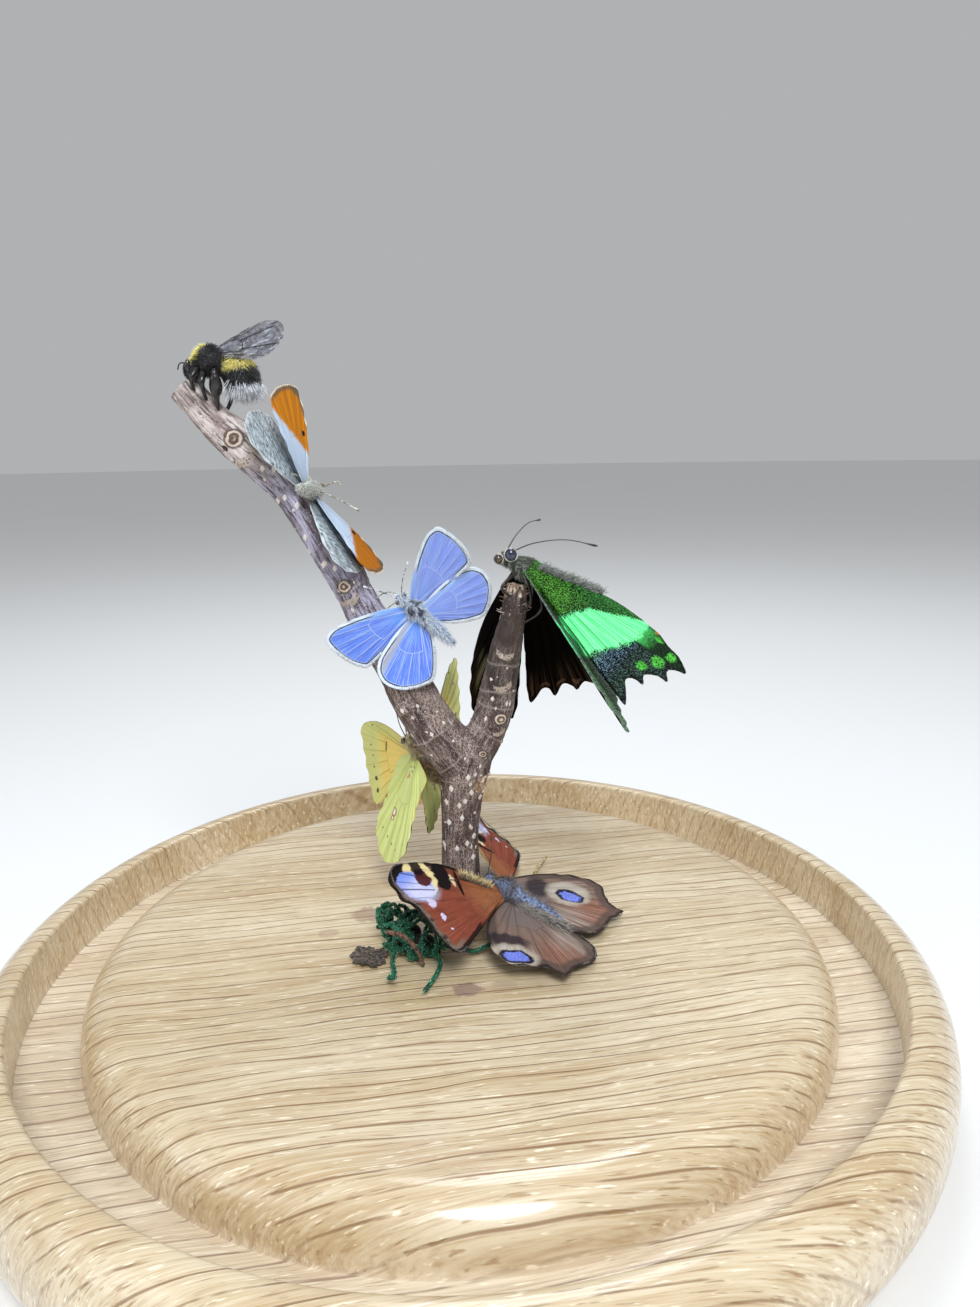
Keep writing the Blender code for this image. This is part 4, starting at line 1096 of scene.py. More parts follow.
def scattered(piece, count, rng):
    """Random places on a mesh in millimetres, and the way its surface faces there."""
    mesh = piece.data
    mesh.calc_loop_triangles()
    corners = np.zeros(len(mesh.loop_triangles) * 3, np.int32)
    mesh.loop_triangles.foreach_get("vertices", corners)
    corners = corners.reshape(-1, 3)
    points = points_of(piece)[corners]
    cross = np.cross(points[:, 1] - points[:, 0], points[:, 2] - points[:, 0])
    areas = np.linalg.norm(cross, axis=1)
    picked = rng.choice(len(corners), count, p=areas / areas.sum())
    a, b = rng.uniform(0, 1, count), rng.uniform(0, 1, count)
    over = a + b > 1
    a[over], b[over] = 1 - a[over], 1 - b[over]
    first, second, third = (points[picked][:, corner] for corner in range(3))
    places = first + a[:, None] * (second - first) + b[:, None] * (third - first)
    outward = cross[picked] / areas[picked][:, None]
    return places, outward


def fur(name, piece, count, rng, tail, lean, lengths, width, shade, droop=0):
    """Hair all over a body, leaning towards the tail, its colour given by shade(places)."""
    places, outward = scattered(piece, count, rng)
    tail = np.array(tail, float) / np.linalg.norm(tail)
    ways = outward + tail * lean + rng.normal(0, 0.22, (count, 3))
    keep, tones = shade(places, rng)
    length = rng.uniform(lengths[0], lengths[1], count)
    return spikes(name, (places - outward * 0.1)[keep], ways[keep], length[keep], width, tones[keep], droop)


def plain_shade(*tones, spread=0.15):
    """Every hair kept, its colour picked from the tones."""
    def pick(places, rng):
        return np.ones(len(places), bool), shades_of(rng, len(places), *tones, spread=spread)
    return pick


ORANGE_BODY = [
    (-25.6, 12, 106, 0.35), (-25.8, 11.2, 106.1, 0.95), (-26.1, 10, 106.2, 0.8),
    (-26.6, 8, 106.4, 1.4), (-27.1, 6, 106.5, 1), (-27.8, 3.9, 106.8, 0.8), (-28.4, 2.4, 107, 0.35),
]
ORANGE_LEGS = [
    [(-26.6, 9.6, 107.2), (-28.6, 11.6, 109.4), (-32.8, 10.6, 108.4)],
    [(-26.8, 8.2, 107.2), (-29.6, 7, 109.4), (-34, 9.8, 109)],
    [(-26.6, 9.6, 105.4), (-27.6, 11.8, 103.4), (-30.2, 10.4, 104.4)],
    [(-26.8, 8.2, 105.2), (-27.2, 7.2, 102.6), (-29.4, 10, 102.8)],
]
ORANGE_FEELERS = [
    [(-25.4, 11.6, 106.6), (-23.8, 11.6, 107.4), (-22.2, 11.4, 107.8), (-21.8, 11.3, 107)],
    [(-24.8, 11.6, 105.6), (-21.8, 12.6, 104), (-18.6, 13.6, 102)],
]
torso = torso_of("orange", ORANGE_BODY, (4, 6), 0.12, 24, "orange_tip_skin", (206, 208, 200),
                 (140, 140, 130), 0.7)
legs = limbs("orange_legs", ORANGE_LEGS, (0.17, 0.1), 10, "pale_leg", (206, 196, 172), (150, 136, 112), 0.5)
feelers = limbs("orange_feelers", ORANGE_FEELERS, (0.15, 0.13, 0.18), 10, "pale_feeler", (224, 218, 206),
                (130, 120, 104), 0.5)
eyes = eye_pair((-26.1, 11.3, 106.5), (0.75, 0, 0.5), (0.5, 0.5, 0.55), "orange_tip_eye", (150, 110, 74),
                (70, 48, 34))
rng = np.random.default_rng(21)
coat = fur("orange_fur", torso, 2600, rng, (-0.4, -0.9, 0.1), 0.9, (0.35, 1.1), 0.08,
           plain_shade((226, 232, 232), (204, 212, 212), (244, 246, 244), (160, 158, 140), (220, 218, 190)),
           0.1)
dressed(coat, hair_material("pale_fur", 0.7, 0.9))
orange_body = join("orange_tip_body", [torso, legs, feelers] + eyes)
for piece in (orange_body, coat):
    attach(piece, "root")
coat.name = "orange_tip_fur"


# ---- The small blue ----
# A male blue with violet-blue wings, a dark line inside a white fringe of hair-scales,
# and a pale furry body. It sits open on the left branch, its back to the viewer.
BLUE_FOREWING = [
    (0, 0.8), (3.4, 1.5), (7, 1.9), (11, 2), (14.5, 1.7), (16.4, 0.6), (16.6, -0.8), (15.4, -3.6),
    (13.6, -6.2), (11.6, -7.9), (10.2, -8.2), (7, -6.7), (3.5, -4.6), (0.4, -2.2),
]
BLUE_HINDWING = [
    (0, 1), (4, 2.3), (8.5, 2.9), (10.6, 2.8), (12.4, 2), (13.6, 0.4), (13.9, -1.4),
    (13.5, -3.8), (12.2, -6), (10.8, -7.5), (9, -8.6), (6.3, -7.8), (3.5, -6.2), (1, -4.2),
    (-0.4, -1.6),
]
BLUE_WINGS = [
    ("forewing_left", BLUE_FOREWING, (-9.2, 3.9, 83.6), (-24.3, -1.2, 78.3), (-17.1, 2.2, 73)),
    ("hindwing_left", BLUE_HINDWING, (-7.6, 4, 81.6), (-13.2, 2.2, 68.6), (-4.6, 4, 69.2)),
    ("forewing_right", BLUE_FOREWING, (-8, 4, 85.2), (-2.2, -1.9, 99.3), (2.3, 2, 92.4)),
    ("hindwing_right", BLUE_HINDWING, (-6, 3.8, 83.2), (6.7, 5.3, 90), (5.8, 7.6, 81.8)),
]


def fringe(name, outline, base, tip, rear, span, length, width, count, tones, rng, flare=0.16):
    """The fringe of long scales along a wing's margin, from one share of its length to another."""
    line = through(outline, 10)
    length_at = walked(line) / walked(line)[-1]
    share = rng.uniform(span[0], span[1], count)
    flat = points_at(share, length_at, line)
    ahead = points_at(share + 0.01, length_at, line) - flat
    outward = np.stack([-ahead[:, 1], ahead[:, 0]], 1) / np.linalg.norm(ahead, axis=1)[:, None]
    axis_x, axis_y, square = wing_axes(outline, base, tip, rear)
    side_way = outward + rng.normal(0, flare, (count, 2))
    ways = side_way[:, :1] * axis_x + side_way[:, 1:] * axis_y + square * rng.normal(0, flare, (count, 1))
    inner = flat - outward * length * 0.75
    roots = base + inner[:, :1] * axis_x + inner[:, 1:] * axis_y
    return spikes(name, roots, ways, length * rng.uniform(0.75, 1.15, count), width,
                  shades_of(rng, count, *tones))


def blue_side(name, hind, right):
    """Violet-blue with pale streaks along the veins, a thin dark line, then the white margin."""
    side = Scales(name, (104, 138, 236), 10)
    side.over((92, 120, 228), 0.6, ("cloud", 0.42, 0.66))
    side.over((104, 160, 240), 0.7, ("out", 0.4, 0.05))
    hairs = noise(stretch(side.fan, (0.05, 0.9, 1)), 1, 3, 0.6)
    side.over((190, 214, 254), 0.7, ramp(hairs, 0.55, 0.64))
    side.over((70, 96, 204), 0.5, ramp(hairs, 0.44, 0.34))
    side.over((206, 224, 254), 0.6, side.lines)
    side.over((160, 206, 246), 0.55, ("y", 0.2, 1.3), ("x", 16, 12))
    if right:
        side.over((176, 190, 252), 0.38)
    elif hind:
        side.over((176, 172, 178), 0.85, ("y", 0.2, 1.5, 0.4))
        side.over((206, 222, 240), 0.8, ("rib", 8.4, 10))
    edge = side.uneven(side.edge, 0.08, 2.5)
    outer = times(ramp(side.x, 5.5, 8.5), ramp(side.out, 0.5, 0.6)) if not hind else ramp(side.out, 0.5, 0.62)
    side.over((186, 206, 244), 0.6, ramp(edge, 0.98, 0.88), outer)
    side.over((48, 42, 50), 0.9, ramp(edge, 0.84, 0.74), outer)
    side.over((226, 236, 246), 0.96, ramp(edge, 0.58, 0.5), outer)
    side.over((206, 226, 246), 0.8, ramp(edge, 0.22, 0.1))
    return side.done()


def blue_underside(name, hind):
    """Pale grey-brown with white-ringed black spots and orange crescents at the margin."""
    side = Scales(name, (176, 164, 150), 10, 0.7)
    side.over((136, 160, 190), 0.7, ("out", 0.36, 0.04))
    side.dusted((204, 196, 184), (130, 118, 104), 0.35)
    spots = [(5.6, -2.4), (8.4, 0.4), (8, -1.6), (9.6, -3.2), (11, 0.2), (11.2, -2), (10, -5.2)]
    if hind:
        spots = [(3.4, 0.4), (3.8, -2.6), (6.6, 1.2), (7.2, -0.8), (7.2, -3), (6, -5.2), (9.2, 0.8),
                 (9.6, -1.8)]
    for place in spots:
        side.over((232, 228, 220), 1, side.oval(place, (0.75, 0.75)))
        side.over((28, 22, 20), 1, side.oval(place, (0.42, 0.42)))
    for share in range(6):
        centre = (12.2 - 0.36 * share * share * 0.5, 0.2 - 1.35 * share)
        side.over((230, 130, 40), 0.85,
                  side.oval((centre[0] * (0.86 if hind else 1), centre[1]), (0.55, 0.6)))
    side.over((232, 234, 234), 0.9, ("edge", 0.95, 0.7))
    side.over((110, 100, 90), 0.3, side.lines)
    return side.done()


blue_unders = (blue_underside("blue_fore_under", False), blue_underside("blue_hind_under", True))
blue_pairs = [(blue_side(f"blue_upper_{2 * right + hind}", hind, right), blue_unders[hind])
              for right in (False, True) for hind in (False, True)]
rng = np.random.default_rng(31)
sheets, fringes = [], []
WHITE_HAIR = hair_material("white_fringe", 0.7, 0.75)
BLUE_RIBS = {"fore": (0.3, 0.86, 10), "hind": (0.26, 0.86, 10)}
BLUE_SPANS = {"fore": (0.42, 0.8), "hind": (0.28, 0.86)}         # the share of the margin with a fringe
for name, *places in BLUE_WINGS:
    sheets.append(wing("blue_" + name, *places, 1, BLUE_RIBS[name[:4]], (0.48, 1.2, 5.6), (0.3, -0.4, 0.3),
                       0.035))
    fringes.append(fringe("blue_fringe", *places, BLUE_SPANS[name[:4]], 0.85, 0.12, 700,
                          [(236, 244, 250), (206, 220, 234), (246, 250, 252)], rng))
blue_wings = finish_wings("blue_wings", sheets, blue_pairs)
for piece in fringes:
    dressed(piece, WHITE_HAIR)
blue_fringe = join("blue_fringe", fringes)
BLUE_BODY = [
    (-11, 3.2, 86.5, 0.35), (-10.2, 3.3, 85.8, 0.85), (-9.3, 3.5, 85.1, 0.65), (-7.6, 3.8, 83.6, 1.35),
    (-5.9, 4.2, 81.8, 0.95), (-3.2, 4.5, 79.2, 0.85), (-0.8, 4.8, 76.8, 0.35),
]
BLUE_LEGS = [
    [(-8.8, 4.6, 84.4), (-13, 7.4, 86.6), (-18.2, 9.4, 83.2)],
    [(-7.8, 4.8, 83.4), (-11.8, 8.6, 84.2), (-16.6, 9.4, 79.8)],
    [(-6.8, 5, 82.6), (-9.6, 9.4, 81.2), (-14.4, 9.4, 76)],
    [(-8.2, 5, 83.2), (-10.2, 7.8, 79.6), (-15.2, 9.2, 77.4)],
    [(-7.2, 5, 82.4), (-8.2, 8, 77.2), (-13, 9.2, 73.6)],
]
BLUE_FEELERS = [
    [(-10.3, 3.2, 86.2), (-9.8, 1.2, 89.8), (-8.6, -0.6, 93.4)],
    [(-10.8, 3.2, 85.8), (-13.8, 1, 87.6), (-17, -0.8, 89)],
]
torso = torso_of("blue", BLUE_BODY, (4, 6), 0.12, 24, "blue_skin", (206, 216, 230), (120, 130, 150), 0.7)
legs = limbs("blue_legs", BLUE_LEGS, (0.15, 0.09), 10, "grey_leg", (196, 196, 196), (90, 86, 84), 0.5)
feelers = limbs("blue_feelers", BLUE_FEELERS, (0.1, 0.09, 0.17), 10, "banded_feeler", (220, 224, 230),
                (60, 60, 66), 0.5)
eyes = eye_pair((-10.4, 3.1, 85.8), (0.6, 0, 0.6), (0.5, 0.55, 0.5), "blue_eye", (60, 62, 70), (16, 16, 20))


def blue_shade(places, rng):
    """White and pale blue hair with a few dark tufts on the thorax."""
    pale = shades_of(rng, len(places), (228, 238, 250), (196, 216, 240), (248, 250, 252))
    dark = shades_of(rng, len(places), (44, 50, 66), (70, 80, 104))
    middle = np.linalg.norm(places - (-7.8, 2.6, 83.8), axis=1) < 1.5
    tuft = rough(places, (0.9, 0.9, 0.9), 7) > np.where(middle, 0, 0.42)
    return np.ones(len(places), bool), np.where(tuft[:, None], dark, pale)


coat = fur("blue_fur", torso, 3200, rng, (0.7, -0.2, -0.7), 0.7, (0.5, 1.5), 0.1, blue_shade, 0.1)
dressed(coat, hair_material("blue_pale_fur", 0.7, 1))
coat.name = "blue_fur"
blue_body = join("blue_body", [torso, legs, feelers] + eyes)
for piece in (blue_wings, blue_fringe, blue_body, coat):
    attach(piece, "root")
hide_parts("blue_butterfly")


# ---- The clouded yellow ----
# It clings behind the fork, so the camera sees its lime-yellow undersides: one pair of
# wings half raised to the left, the other seen beside the trunk and through the fork.
YELLOW_FOREWING = [
    (0, 1), (6, 2.4), (12, 3.2), (18, 3.1), (23, 2), (26.2, 0.4), (26.2, -2.2), (24.4, -7),
    (22, -11.4), (19.4, -15), (17, -16.2), (11, -12.2), (5.5, -7.2), (0.4, -2.6),
]
YELLOW_HINDWING = [
    (0, 2), (2.8, 5.9), (7.3, 7.1), (14.4, 8.1), (18.5, 9), (21.2, 8.2), (24, 5.5),
    (25.2, 2.6), (24.7, -0.1), (22.6, -3.8), (19.4, -6.3), (15.9, -6.6), (6.9, -6.9), (3.3, -8.1),
    (1.7, -7.8), (0.2, -2.6),
]
YELLOW_WINGS = [                      # name, outline, base, tip, rear corner, lift
    ("forewing_left", YELLOW_FOREWING, (-10, 14.8, 51.2), (-22.2, 37.6, 50), (-18.2, 28.6, 33),
     (0.4, 0.8, 0)),
    ("hindwing_left", YELLOW_HINDWING, (-9.3, 13.6, 50.6), (-16.2, 15.7, 26.3), (-6.9, 5, 42.6),
     (0.9, 0.6, 0)),
    ("forewing_right", YELLOW_FOREWING, (-6, 15.2, 51.3), (-0.7, 35.9, 66.5), (-0.4, 37.6, 48),
     (0.4, 0.3, 0)),
    ("hindwing_right", YELLOW_HINDWING, (-6.8, 15, 49.6), (-5.6, 31, 30), (-8, 13, 41), (0.3, 0.3, 0)),
]


def yellow_forewing_under():
    """Orange-yellow in the middle, mint-green at the tip and margin, with black dots."""
    side = Scales("yellow_fore_under", (236, 228, 140), 10)
    side.over((250, 218, 122), 0.9, ("y", 2.2, 0.2), ("x", 17.5, 12.5, 1.2))
    side.over((196, 206, 132), 0.85, ("y", 0.9, 2.4))
    outer = side.uneven(plus(side.x, times(side.y, -0.18)), 1)
    side.over((220, 222, 146), 0.88, ramp(outer, 16, 20.6))
    side.over((218, 222, 142), 0.7, ("edge", 3.2, 1.4))
    side.over((240, 216, 130), 0.5, ("between", 0.3, 0.9), ("x", 20, 12))
    side.over((196, 150, 60), 0.7, side.lines, ("x", 18, 14))
    side.over((176, 186, 92), 0.4, side.lines)
    side.dusted((236, 232, 160), (180, 176, 70), 0.3)
    side.over((46, 32, 18), 0.95, side.oval((12.8, -1.6), (0.42, 1.25), 12))
    side.over((240, 214, 120), 0.7, side.oval((12.8, -1.6), (0.12, 0.8), 12))
    for place, half in (((20.4, 1.8), 0.22), ((21.3, -3.1), 0.24), ((20.3, -5.4), 0.24), ((19.2, -7.8), 0.26),
                        ((17.8, -10.2), 0.5), ((16.8, -12.8), 0.55)):
        side.over((46, 36, 20), 0.9, side.oval(place, (half * 1.3, half)))
    side.over((186, 150, 110), 0.8, ("edge", 0.4, 0.15), ("y", 0, 1.2))
    side.over((206, 170, 140), 0.7, ("edge", 0.24, 0.1), ("x", 15, 18))
    return side.done()


def yellow_hindwing_under():
    """Lime-yellow with pale streaks, a ringed double white spot and a few rusty marks."""
    side = Scales("yellow_hind_under", (210, 218, 138), 10)
    side.over((222, 234, 170), 0.7, ("streak", 0.48, 0.66))
    side.over((174, 190, 100), 0.6, ("streak", 0.44, 0.3))
    side.over((218, 226, 150), 0.25, ("between", 0.55, 1))
    side.dusted((220, 228, 168), (150, 164, 84), 0.25)
    side.over((166, 176, 70), 0.45, side.lines)
    for place, half in (((14.1, 2.8), (1.1, 0.62)), ((15.6, 3), (0.6, 0.45))):
        side.over((150, 74, 46), 0.9, side.oval(place, half))
        side.over((238, 236, 226), 0.95, side.oval(place, (half[0] * 0.7, half[1] * 0.5)))
    side.over((150, 70, 44), 0.85, side.oval((12.4, 7.6), (0.7, 0.35), 30))
    side.over((206, 96, 84), 0.8, side.oval((4.9, 0.6), (0.9, 0.22), 40))
    side.over((206, 96, 84), 0.8, side.oval((4.4, 0.2), (0.9, 0.18), -30))
    for place in ((2.7, 0.4), (3.4, -0.6), (2.2, -1.1)):
        side.over((50, 50, 44), 0.8, side.oval(place, (0.3, 0.22)))
        side.over((240, 240, 232), 0.8, side.oval((place[0] + 0.4, place[1] + 0.2), (0.22, 0.18)))
    for place in ((20.6, 0.6), (20.2, 3.4), (20.8, -2), (19.4, 6.2), (18.4, -4.4)):
        side.over((120, 84, 44), 0.75, side.oval(place, (0.3, 0.2)))
    side.over((222, 196, 160), 0.6, ("edge", 0.26, 0.1))
    return side.done()


def yellow_upper(name, centre):
    """The upper side, which faces away: deep yellow with a black-brown border."""
    side = Scales(name, (232, 172, 46), 10)
    side.dusted((244, 200, 84), (204, 140, 30), 0.35)
    side.over((176, 120, 30), 0.4, side.lines)
    side.over((40, 30, 22), 0.95, ("edge", 3.6, 2.9, 0.5), ("x", 11, 14))
    side.over((40, 30, 22), 0.8, side.oval(centre, (1, 1.1)))
    side.over((150, 150, 70), 0.6, ("out", 0.35, 0.05))
    return side.done()


fore_pair = (yellow_upper("yellow_fore_upper", (12.6, -1.2)), yellow_forewing_under())
hind_pair = (yellow_upper("yellow_hind_upper", (12.8, 2.4)), yellow_hindwing_under())
YELLOW_VEINS = {"fore": ((0.3, 0.82, 10), (0.5, 1.2, 5.4)), "hind": ((0.24, 0.8, 10), (0.44, 2.2, 5.6))}
sheets = [wing("yellow_" + name, *places, -1, *YELLOW_VEINS[name[:4]], lift, 0.16)
          for name, *places, lift in YELLOW_WINGS]
yellow_wings = finish_wings("yellow_wings", sheets, [fore_pair, hind_pair, fore_pair, hind_pair])
YELLOW_BODY = [
    (-10.9, 13.6, 55.2, 0.5), (-10.3, 13.7, 54.3, 1.2), (-9.5, 14, 53.1, 1), (-7.8, 14.6, 51.2, 2.1),
    (-6.9, 14.6, 49.2, 1.5), (-5.5, 14.6, 46.6, 1.3), (-4.5, 14.6, 44.4, 0.5),
]
YELLOW_LEGS = [
    [(-9.2, 13.2, 52.4), (-8.8, 10.2, 54.4), (-4.2, 9.6, 55.6)],
    [(-8.4, 12.8, 51.4), (-6.2, 10, 51.6), (-1.2, 9.4, 53)],
    [(-7.8, 12.8, 50.2), (-5, 11.2, 48.4), (0, 9.6, 49)],
    [(-8.8, 13.8, 52.4), (-5.4, 15.4, 55), (-3.2, 10.2, 55.6)],
]
YELLOW_FEELERS = [
    [(-11, 13.4, 54.8), (-12.2, 12.6, 58), (-12.8, 12.2, 61.4)],
    [(-10.8, 13.9, 54.8), (-11.4, 15.6, 58), (-11.8, 17.4, 61)],
]
torso = torso_of("yellow", YELLOW_BODY, (4, 6), 0.12, 24, "yellow_skin", (216, 210, 160), (150, 138, 92), 0.7)
legs = limbs("yellow_legs", YELLOW_LEGS, (0.18, 0.1), 10, "rosy_leg", (206, 160, 130), (150, 104, 84), 0.5)
feelers = limbs("yellow_feelers", YELLOW_FEELERS, (0.11, 0.1, 0.17), 10, "rosy_feeler", (150, 100, 84),
                (96, 60, 50), 0.5)
eyes = eye_pair((-10.6, 13.1, 54.6), (0.9, 0, 0.5), (0.62, 0.66, 0.7), "yellow_eye", (110, 84, 60),
                (34, 24, 20))
rng = np.random.default_rng(41)
coat = fur("yellow_fur", torso, 3400, rng, (0.4, 0, -0.9), 0.6, (0.6, 1.9), 0.08,
           plain_shade((236, 232, 198), (220, 214, 152), (244, 240, 218), (176, 160, 110), (196, 140, 100)),
           0.1)
dressed(coat, hair_material("cream_fur", 0.7, 0.85))
yellow_body = join("yellow_body", [torso, legs, feelers] + eyes)
for piece in (yellow_wings, yellow_body, coat):
    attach(piece, "root")
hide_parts("yellow_butterfly")
coat.name = "yellow_fur"


# ---- The green swallowtail ----
# A banded peacock swallowtail on the broken tip: black wings powdered with green and
# crossed by a bright emerald band. The far pair hangs back and shows brown undersides.
GREEN_FOREWING = [
    (0, 1.4), (9, 3.6), (18, 5), (27, 4.8), (34, 2.8), (37.6, 0.6), (38, -1.6), (35, -5.4),
    (31, -8.8), (27, -12.6), (24, -16), (16, -12.6), (8, -8), (0.2, -3),
]
GREEN_HINDWING = [
    (0, 2), (6.9, 3.2), (16.8, 4.9), (22.4, 5), (27.4, 4.5), (33.8, 2.4), (36.6, 0.6),
    (34.9, -0.4), (33.6, -1.6), (35, -3.6), (32.9, -3.9), (30.8, -5.2), (31.9, -7.4), (29.6, -7.4),
    (28.9, -8.8),
    (31.8, -13), (28.4, -12), (22, -9.8), (13.3, -6.8), (7.6, -4.6), (0.4, -2.4),
]
FAR_FOREWING = [
    (0, 1.4), (9.5, 4), (19, 5.8), (29, 6), (36.4, 4.2), (41.2, 1.6), (42.6, -0.8),
    (40.2, -4.6), (36.4, -8.8), (31.4, -12.6), (27.6, -14.6), (18, -11.4), (8.6, -7.2), (0.2, -3),
]
FAR_HINDWING = [
    (0, 2), (7.4, 3.4), (18, 5.2), (24, 5.3), (29.4, 4.8), (36, 2.6), (38.6, 0.4), (36.9, -0.9), (35.6, -2),
    (37.4, -4.4), (35, -4.9), (33.5, -6.4), (35.6, -9.4), (33, -9.7), (32, -11.4), (34.6, -15),
    (30.6, -14.2), (23.6, -11.4), (14.2, -7.8), (8, -5.2), (0.4, -2.4),
]


def segment(side, first, last, half, soft=0.3):
    """A bar on a wing from one place to another."""
    first, last = Vector((*first, 0)), Vector((*last, 0))
    middle, reach = (first + last) / 2, (last - first).length / 2
    turn = math.degrees(math.atan2(last.y - first.y, last.x - first.x))
    return side.oval(middle[:2], (reach, half), turn, soft)


def green_hindwing_upper(name):
    """Green powder on black, the emerald band with its veins, blue dust and green spots."""
    side = Scales(name, (10, 16, 12), 9)
    powder = noise(side.place, 3.2, 3, 0.75)
    side.over((66, 128, 52), 0.95, ramp(powder, 0.5, 0.55))
    side.over((96, 168, 52), 0.7, ramp(powder, 0.49, 0.55), ("x", 15, 8))
    side.over((30, 74, 32), 0.6, ("y", 0.6, 2.4), ("x", 8, 14))
    side.over((70, 150, 66), 0.7, ramp(powder, 0.52, 0.58), ("y", 0, 2))
    side.over((10, 14, 14), 0.92, ("x", 21.5, 24), ("y", 0.6, -0.8))
    side.over((10, 14, 14), 0.8, ("x", 27, 29.5))
    dust = ramp(powder, 0.52, 0.58)
    window = times(times(ramp(side.x, 20, 23), ramp(side.x, 27.5, 25)), ramp(side.y, 0.4, -1.4))
    side.over((120, 152, 176), 0.85, ramp(powder, 0.53, 0.58), window)
    side.over((84, 112, 100), 0.8, dust, ("x", 25, 28), ("y", 0.4, -1.4))
    grain = times(minus(powder, 0.5), 5)
    past = times(calc("MAXIMUM", side.y, 0), -1.35)
    top = plus(side.x, times(side.y, -0.55))
    top = side.uneven(plus(plus(top, past), grain), 0.7, 0.7)
    low = plus(side.x, times(calc("MINIMUM", side.y, 0), -0.55))
    low = side.uneven(plus(low, times(grain, -1)), 1.1, 0.5)
    side.over((64, 176, 84), 0.75, ramp(top, 17, 19), ramp(low, 29, 25.5), ("y", -0.6, 0.6))
    bright = paint((88, 232, 138), (142, 250, 172), ramp(side.streak, 0.4, 0.6))
    bright = paint(bright, (64, 206, 120), ramp(powder, 0.46, 0.36, 0.7))
    bright = paint(bright, (14, 76, 40), times(side.lines, 0.8))
    side.tone = paint(side.tone, bright, times(ramp(top, 14.4, 15.2), ramp(low, 26, 25)))
    for place, half in (((29.4, -3.9), (1, 0.9)), ((31.2, -1.2), (1.25, 1.15)), ((32.6, 1.5), (1, 0.9)),
                        ((28.8, 3.4), (0.9, 0.6)), ((29.8, -9.2), (0.9, 0.7))):
        side.over((84, 190, 66), 0.95, side.oval(place, half, 0, 0.3, 0.7), ramp(powder, 0.44, 0.5))
    side.over((4, 6, 4), 0.8, ("edge", 0.8, 0.4), ("x", 24, 28))
    side.over((196, 110, 40), 0.8, side.oval((27.6, 4.3), (0.5, 0.3)))
    side.over((150, 146, 138), 0.7, ("edge", 0.24, 0.1), ("x", 29, 31))
    side.over((4, 8, 6), 0.4, side.lines)
    return side.done(0.00008)


def green_forewing_upper(name):
    """Grey-black with green powder, stripes of the emerald band and a violet-grey sheen."""
    side = Scales(name, (42, 50, 50), 9, 0.6)
    powder = noise(side.place, 2.5, 3, 0.75)
    side.over((112, 156, 100), 0.88, ramp(powder, 0.48, 0.55))
    side.over((124, 126, 144), 0.7, ("streak", 0.52, 0.66))
    band_at = plus(side.x, times(side.y, -0.35))
    green = times(ramp(side.uneven(band_at, 0.5), 12, 13.4), ramp(side.uneven(band_at, 0.5), 22, 20))
    green = times(green, ramp(side.between, 0.18, 0.36))
    side.over((70, 214, 130), 0.95, green)
    side.over((10, 10, 12), 0.7, side.lines)
    side.over((136, 140, 146), 0.6, ("edge", 0.5, 0.2))
    return side.done(0.00008)


def green_underside(name, hind):
    """Matt black-brown, with pale stripes between the outer veins and tan crescents."""
    side = Scales(name, (9, 6, 5), 9, 0.95, Specular_IOR_Level=0.02)
    side.dusted((22, 16, 13), (4, 3, 3), 0.5)
    outer = ramp(side.uneven(side.x, 1.5), 24, 32)
    side.over((58, 44, 32), 0.8, outer, ("streak", 0.46, 0.62))
    if hind:
        scallop = times(ramp(side.uneven(side.edge, 0.2), 1.9, 1.5), ramp(side.edge, 0.7, 1.1))
        side.over((92, 74, 54), 0.7, scallop, ("between", 0.35, 0.7), outer)
        side.over((120, 108, 90), 0.6, ("edge", 0.22, 0.08), outer)
    else:
        stripe = times(ramp(side.between, 0.24, 0.6), ramp(side.uneven(side.x, 1), 24, 29))
        stripe = times(stripe, ramp(side.edge, 1.6, 4))
        side.over((104, 98, 78), 0.75, stripe)
        side.over((170, 162, 134), 0.6, stripe, ("streak", 0.54, 0.7))
    side.over((4, 3, 3), 0.8, side.lines)
    return side.done()


hind_upper, fore_upper = green_hindwing_upper("green_hind_upper"), green_forewing_upper("green_fore_upper")
hind_under, fore_under = green_underside("green_hind_under", True), green_underside("green_fore_under", False)
GREEN_WINGS = [                       # name, outline, base, tip, rear corner, side seen, lift
    ("hindwing_near", GREEN_HINDWING, (14.6, 7.2, 91.2), (42, -7, 72.9), (30.1, -13, 69), 1, (0, 0, 0)),
    ("forewing_near", GREEN_FOREWING, (13.9, 6.4, 89.8), (30.1, -17, 64.4), (28.3, 4, 68.6), 1, (0, 1.5, 0)),
    ("forewing_far", FAR_FOREWING, (12.6, 11.4, 89.4), (3.8, 33.9, 54.4), (12.4, 15.4, 58.5), -1, (0, 0, 0)),
    ("hindwing_far", FAR_HINDWING, (15, 11.6, 89.6), (32.2, 30.6, 60.8), (17.1, 30.2, 56.6), -1, (0, 0, 0)),
]
GREEN_VEINS = {"fore": ((0.36, 0.8, 9), (0.5, 1, 5.2)), "hind": ((0.3, 0.8, 9), (0.4, 2, 5.4))}
sheets = [wing("green_" + name, *places, *GREEN_VEINS[name[:4]], lift, 0.2)
          for name, *places, lift in GREEN_WINGS]
green_wings = finish_wings("green_wings", sheets, [
    (hind_upper, hind_under), (fore_upper, fore_under), (fore_upper, fore_under), (hind_upper, hind_under)])
GREEN_BODY = [
    (8.6, 8.2, 92.9, 0.6), (9.8, 8.4, 92.6, 1.2), (11.4, 8.8, 91.8, 1.2), (14.2, 9.4, 90.2, 2.3),
    (17.4, 9.4, 88.6, 1.5), (22.4, 9.2, 87, 1.4), (28.6, 9, 84.9, 0.5),
]
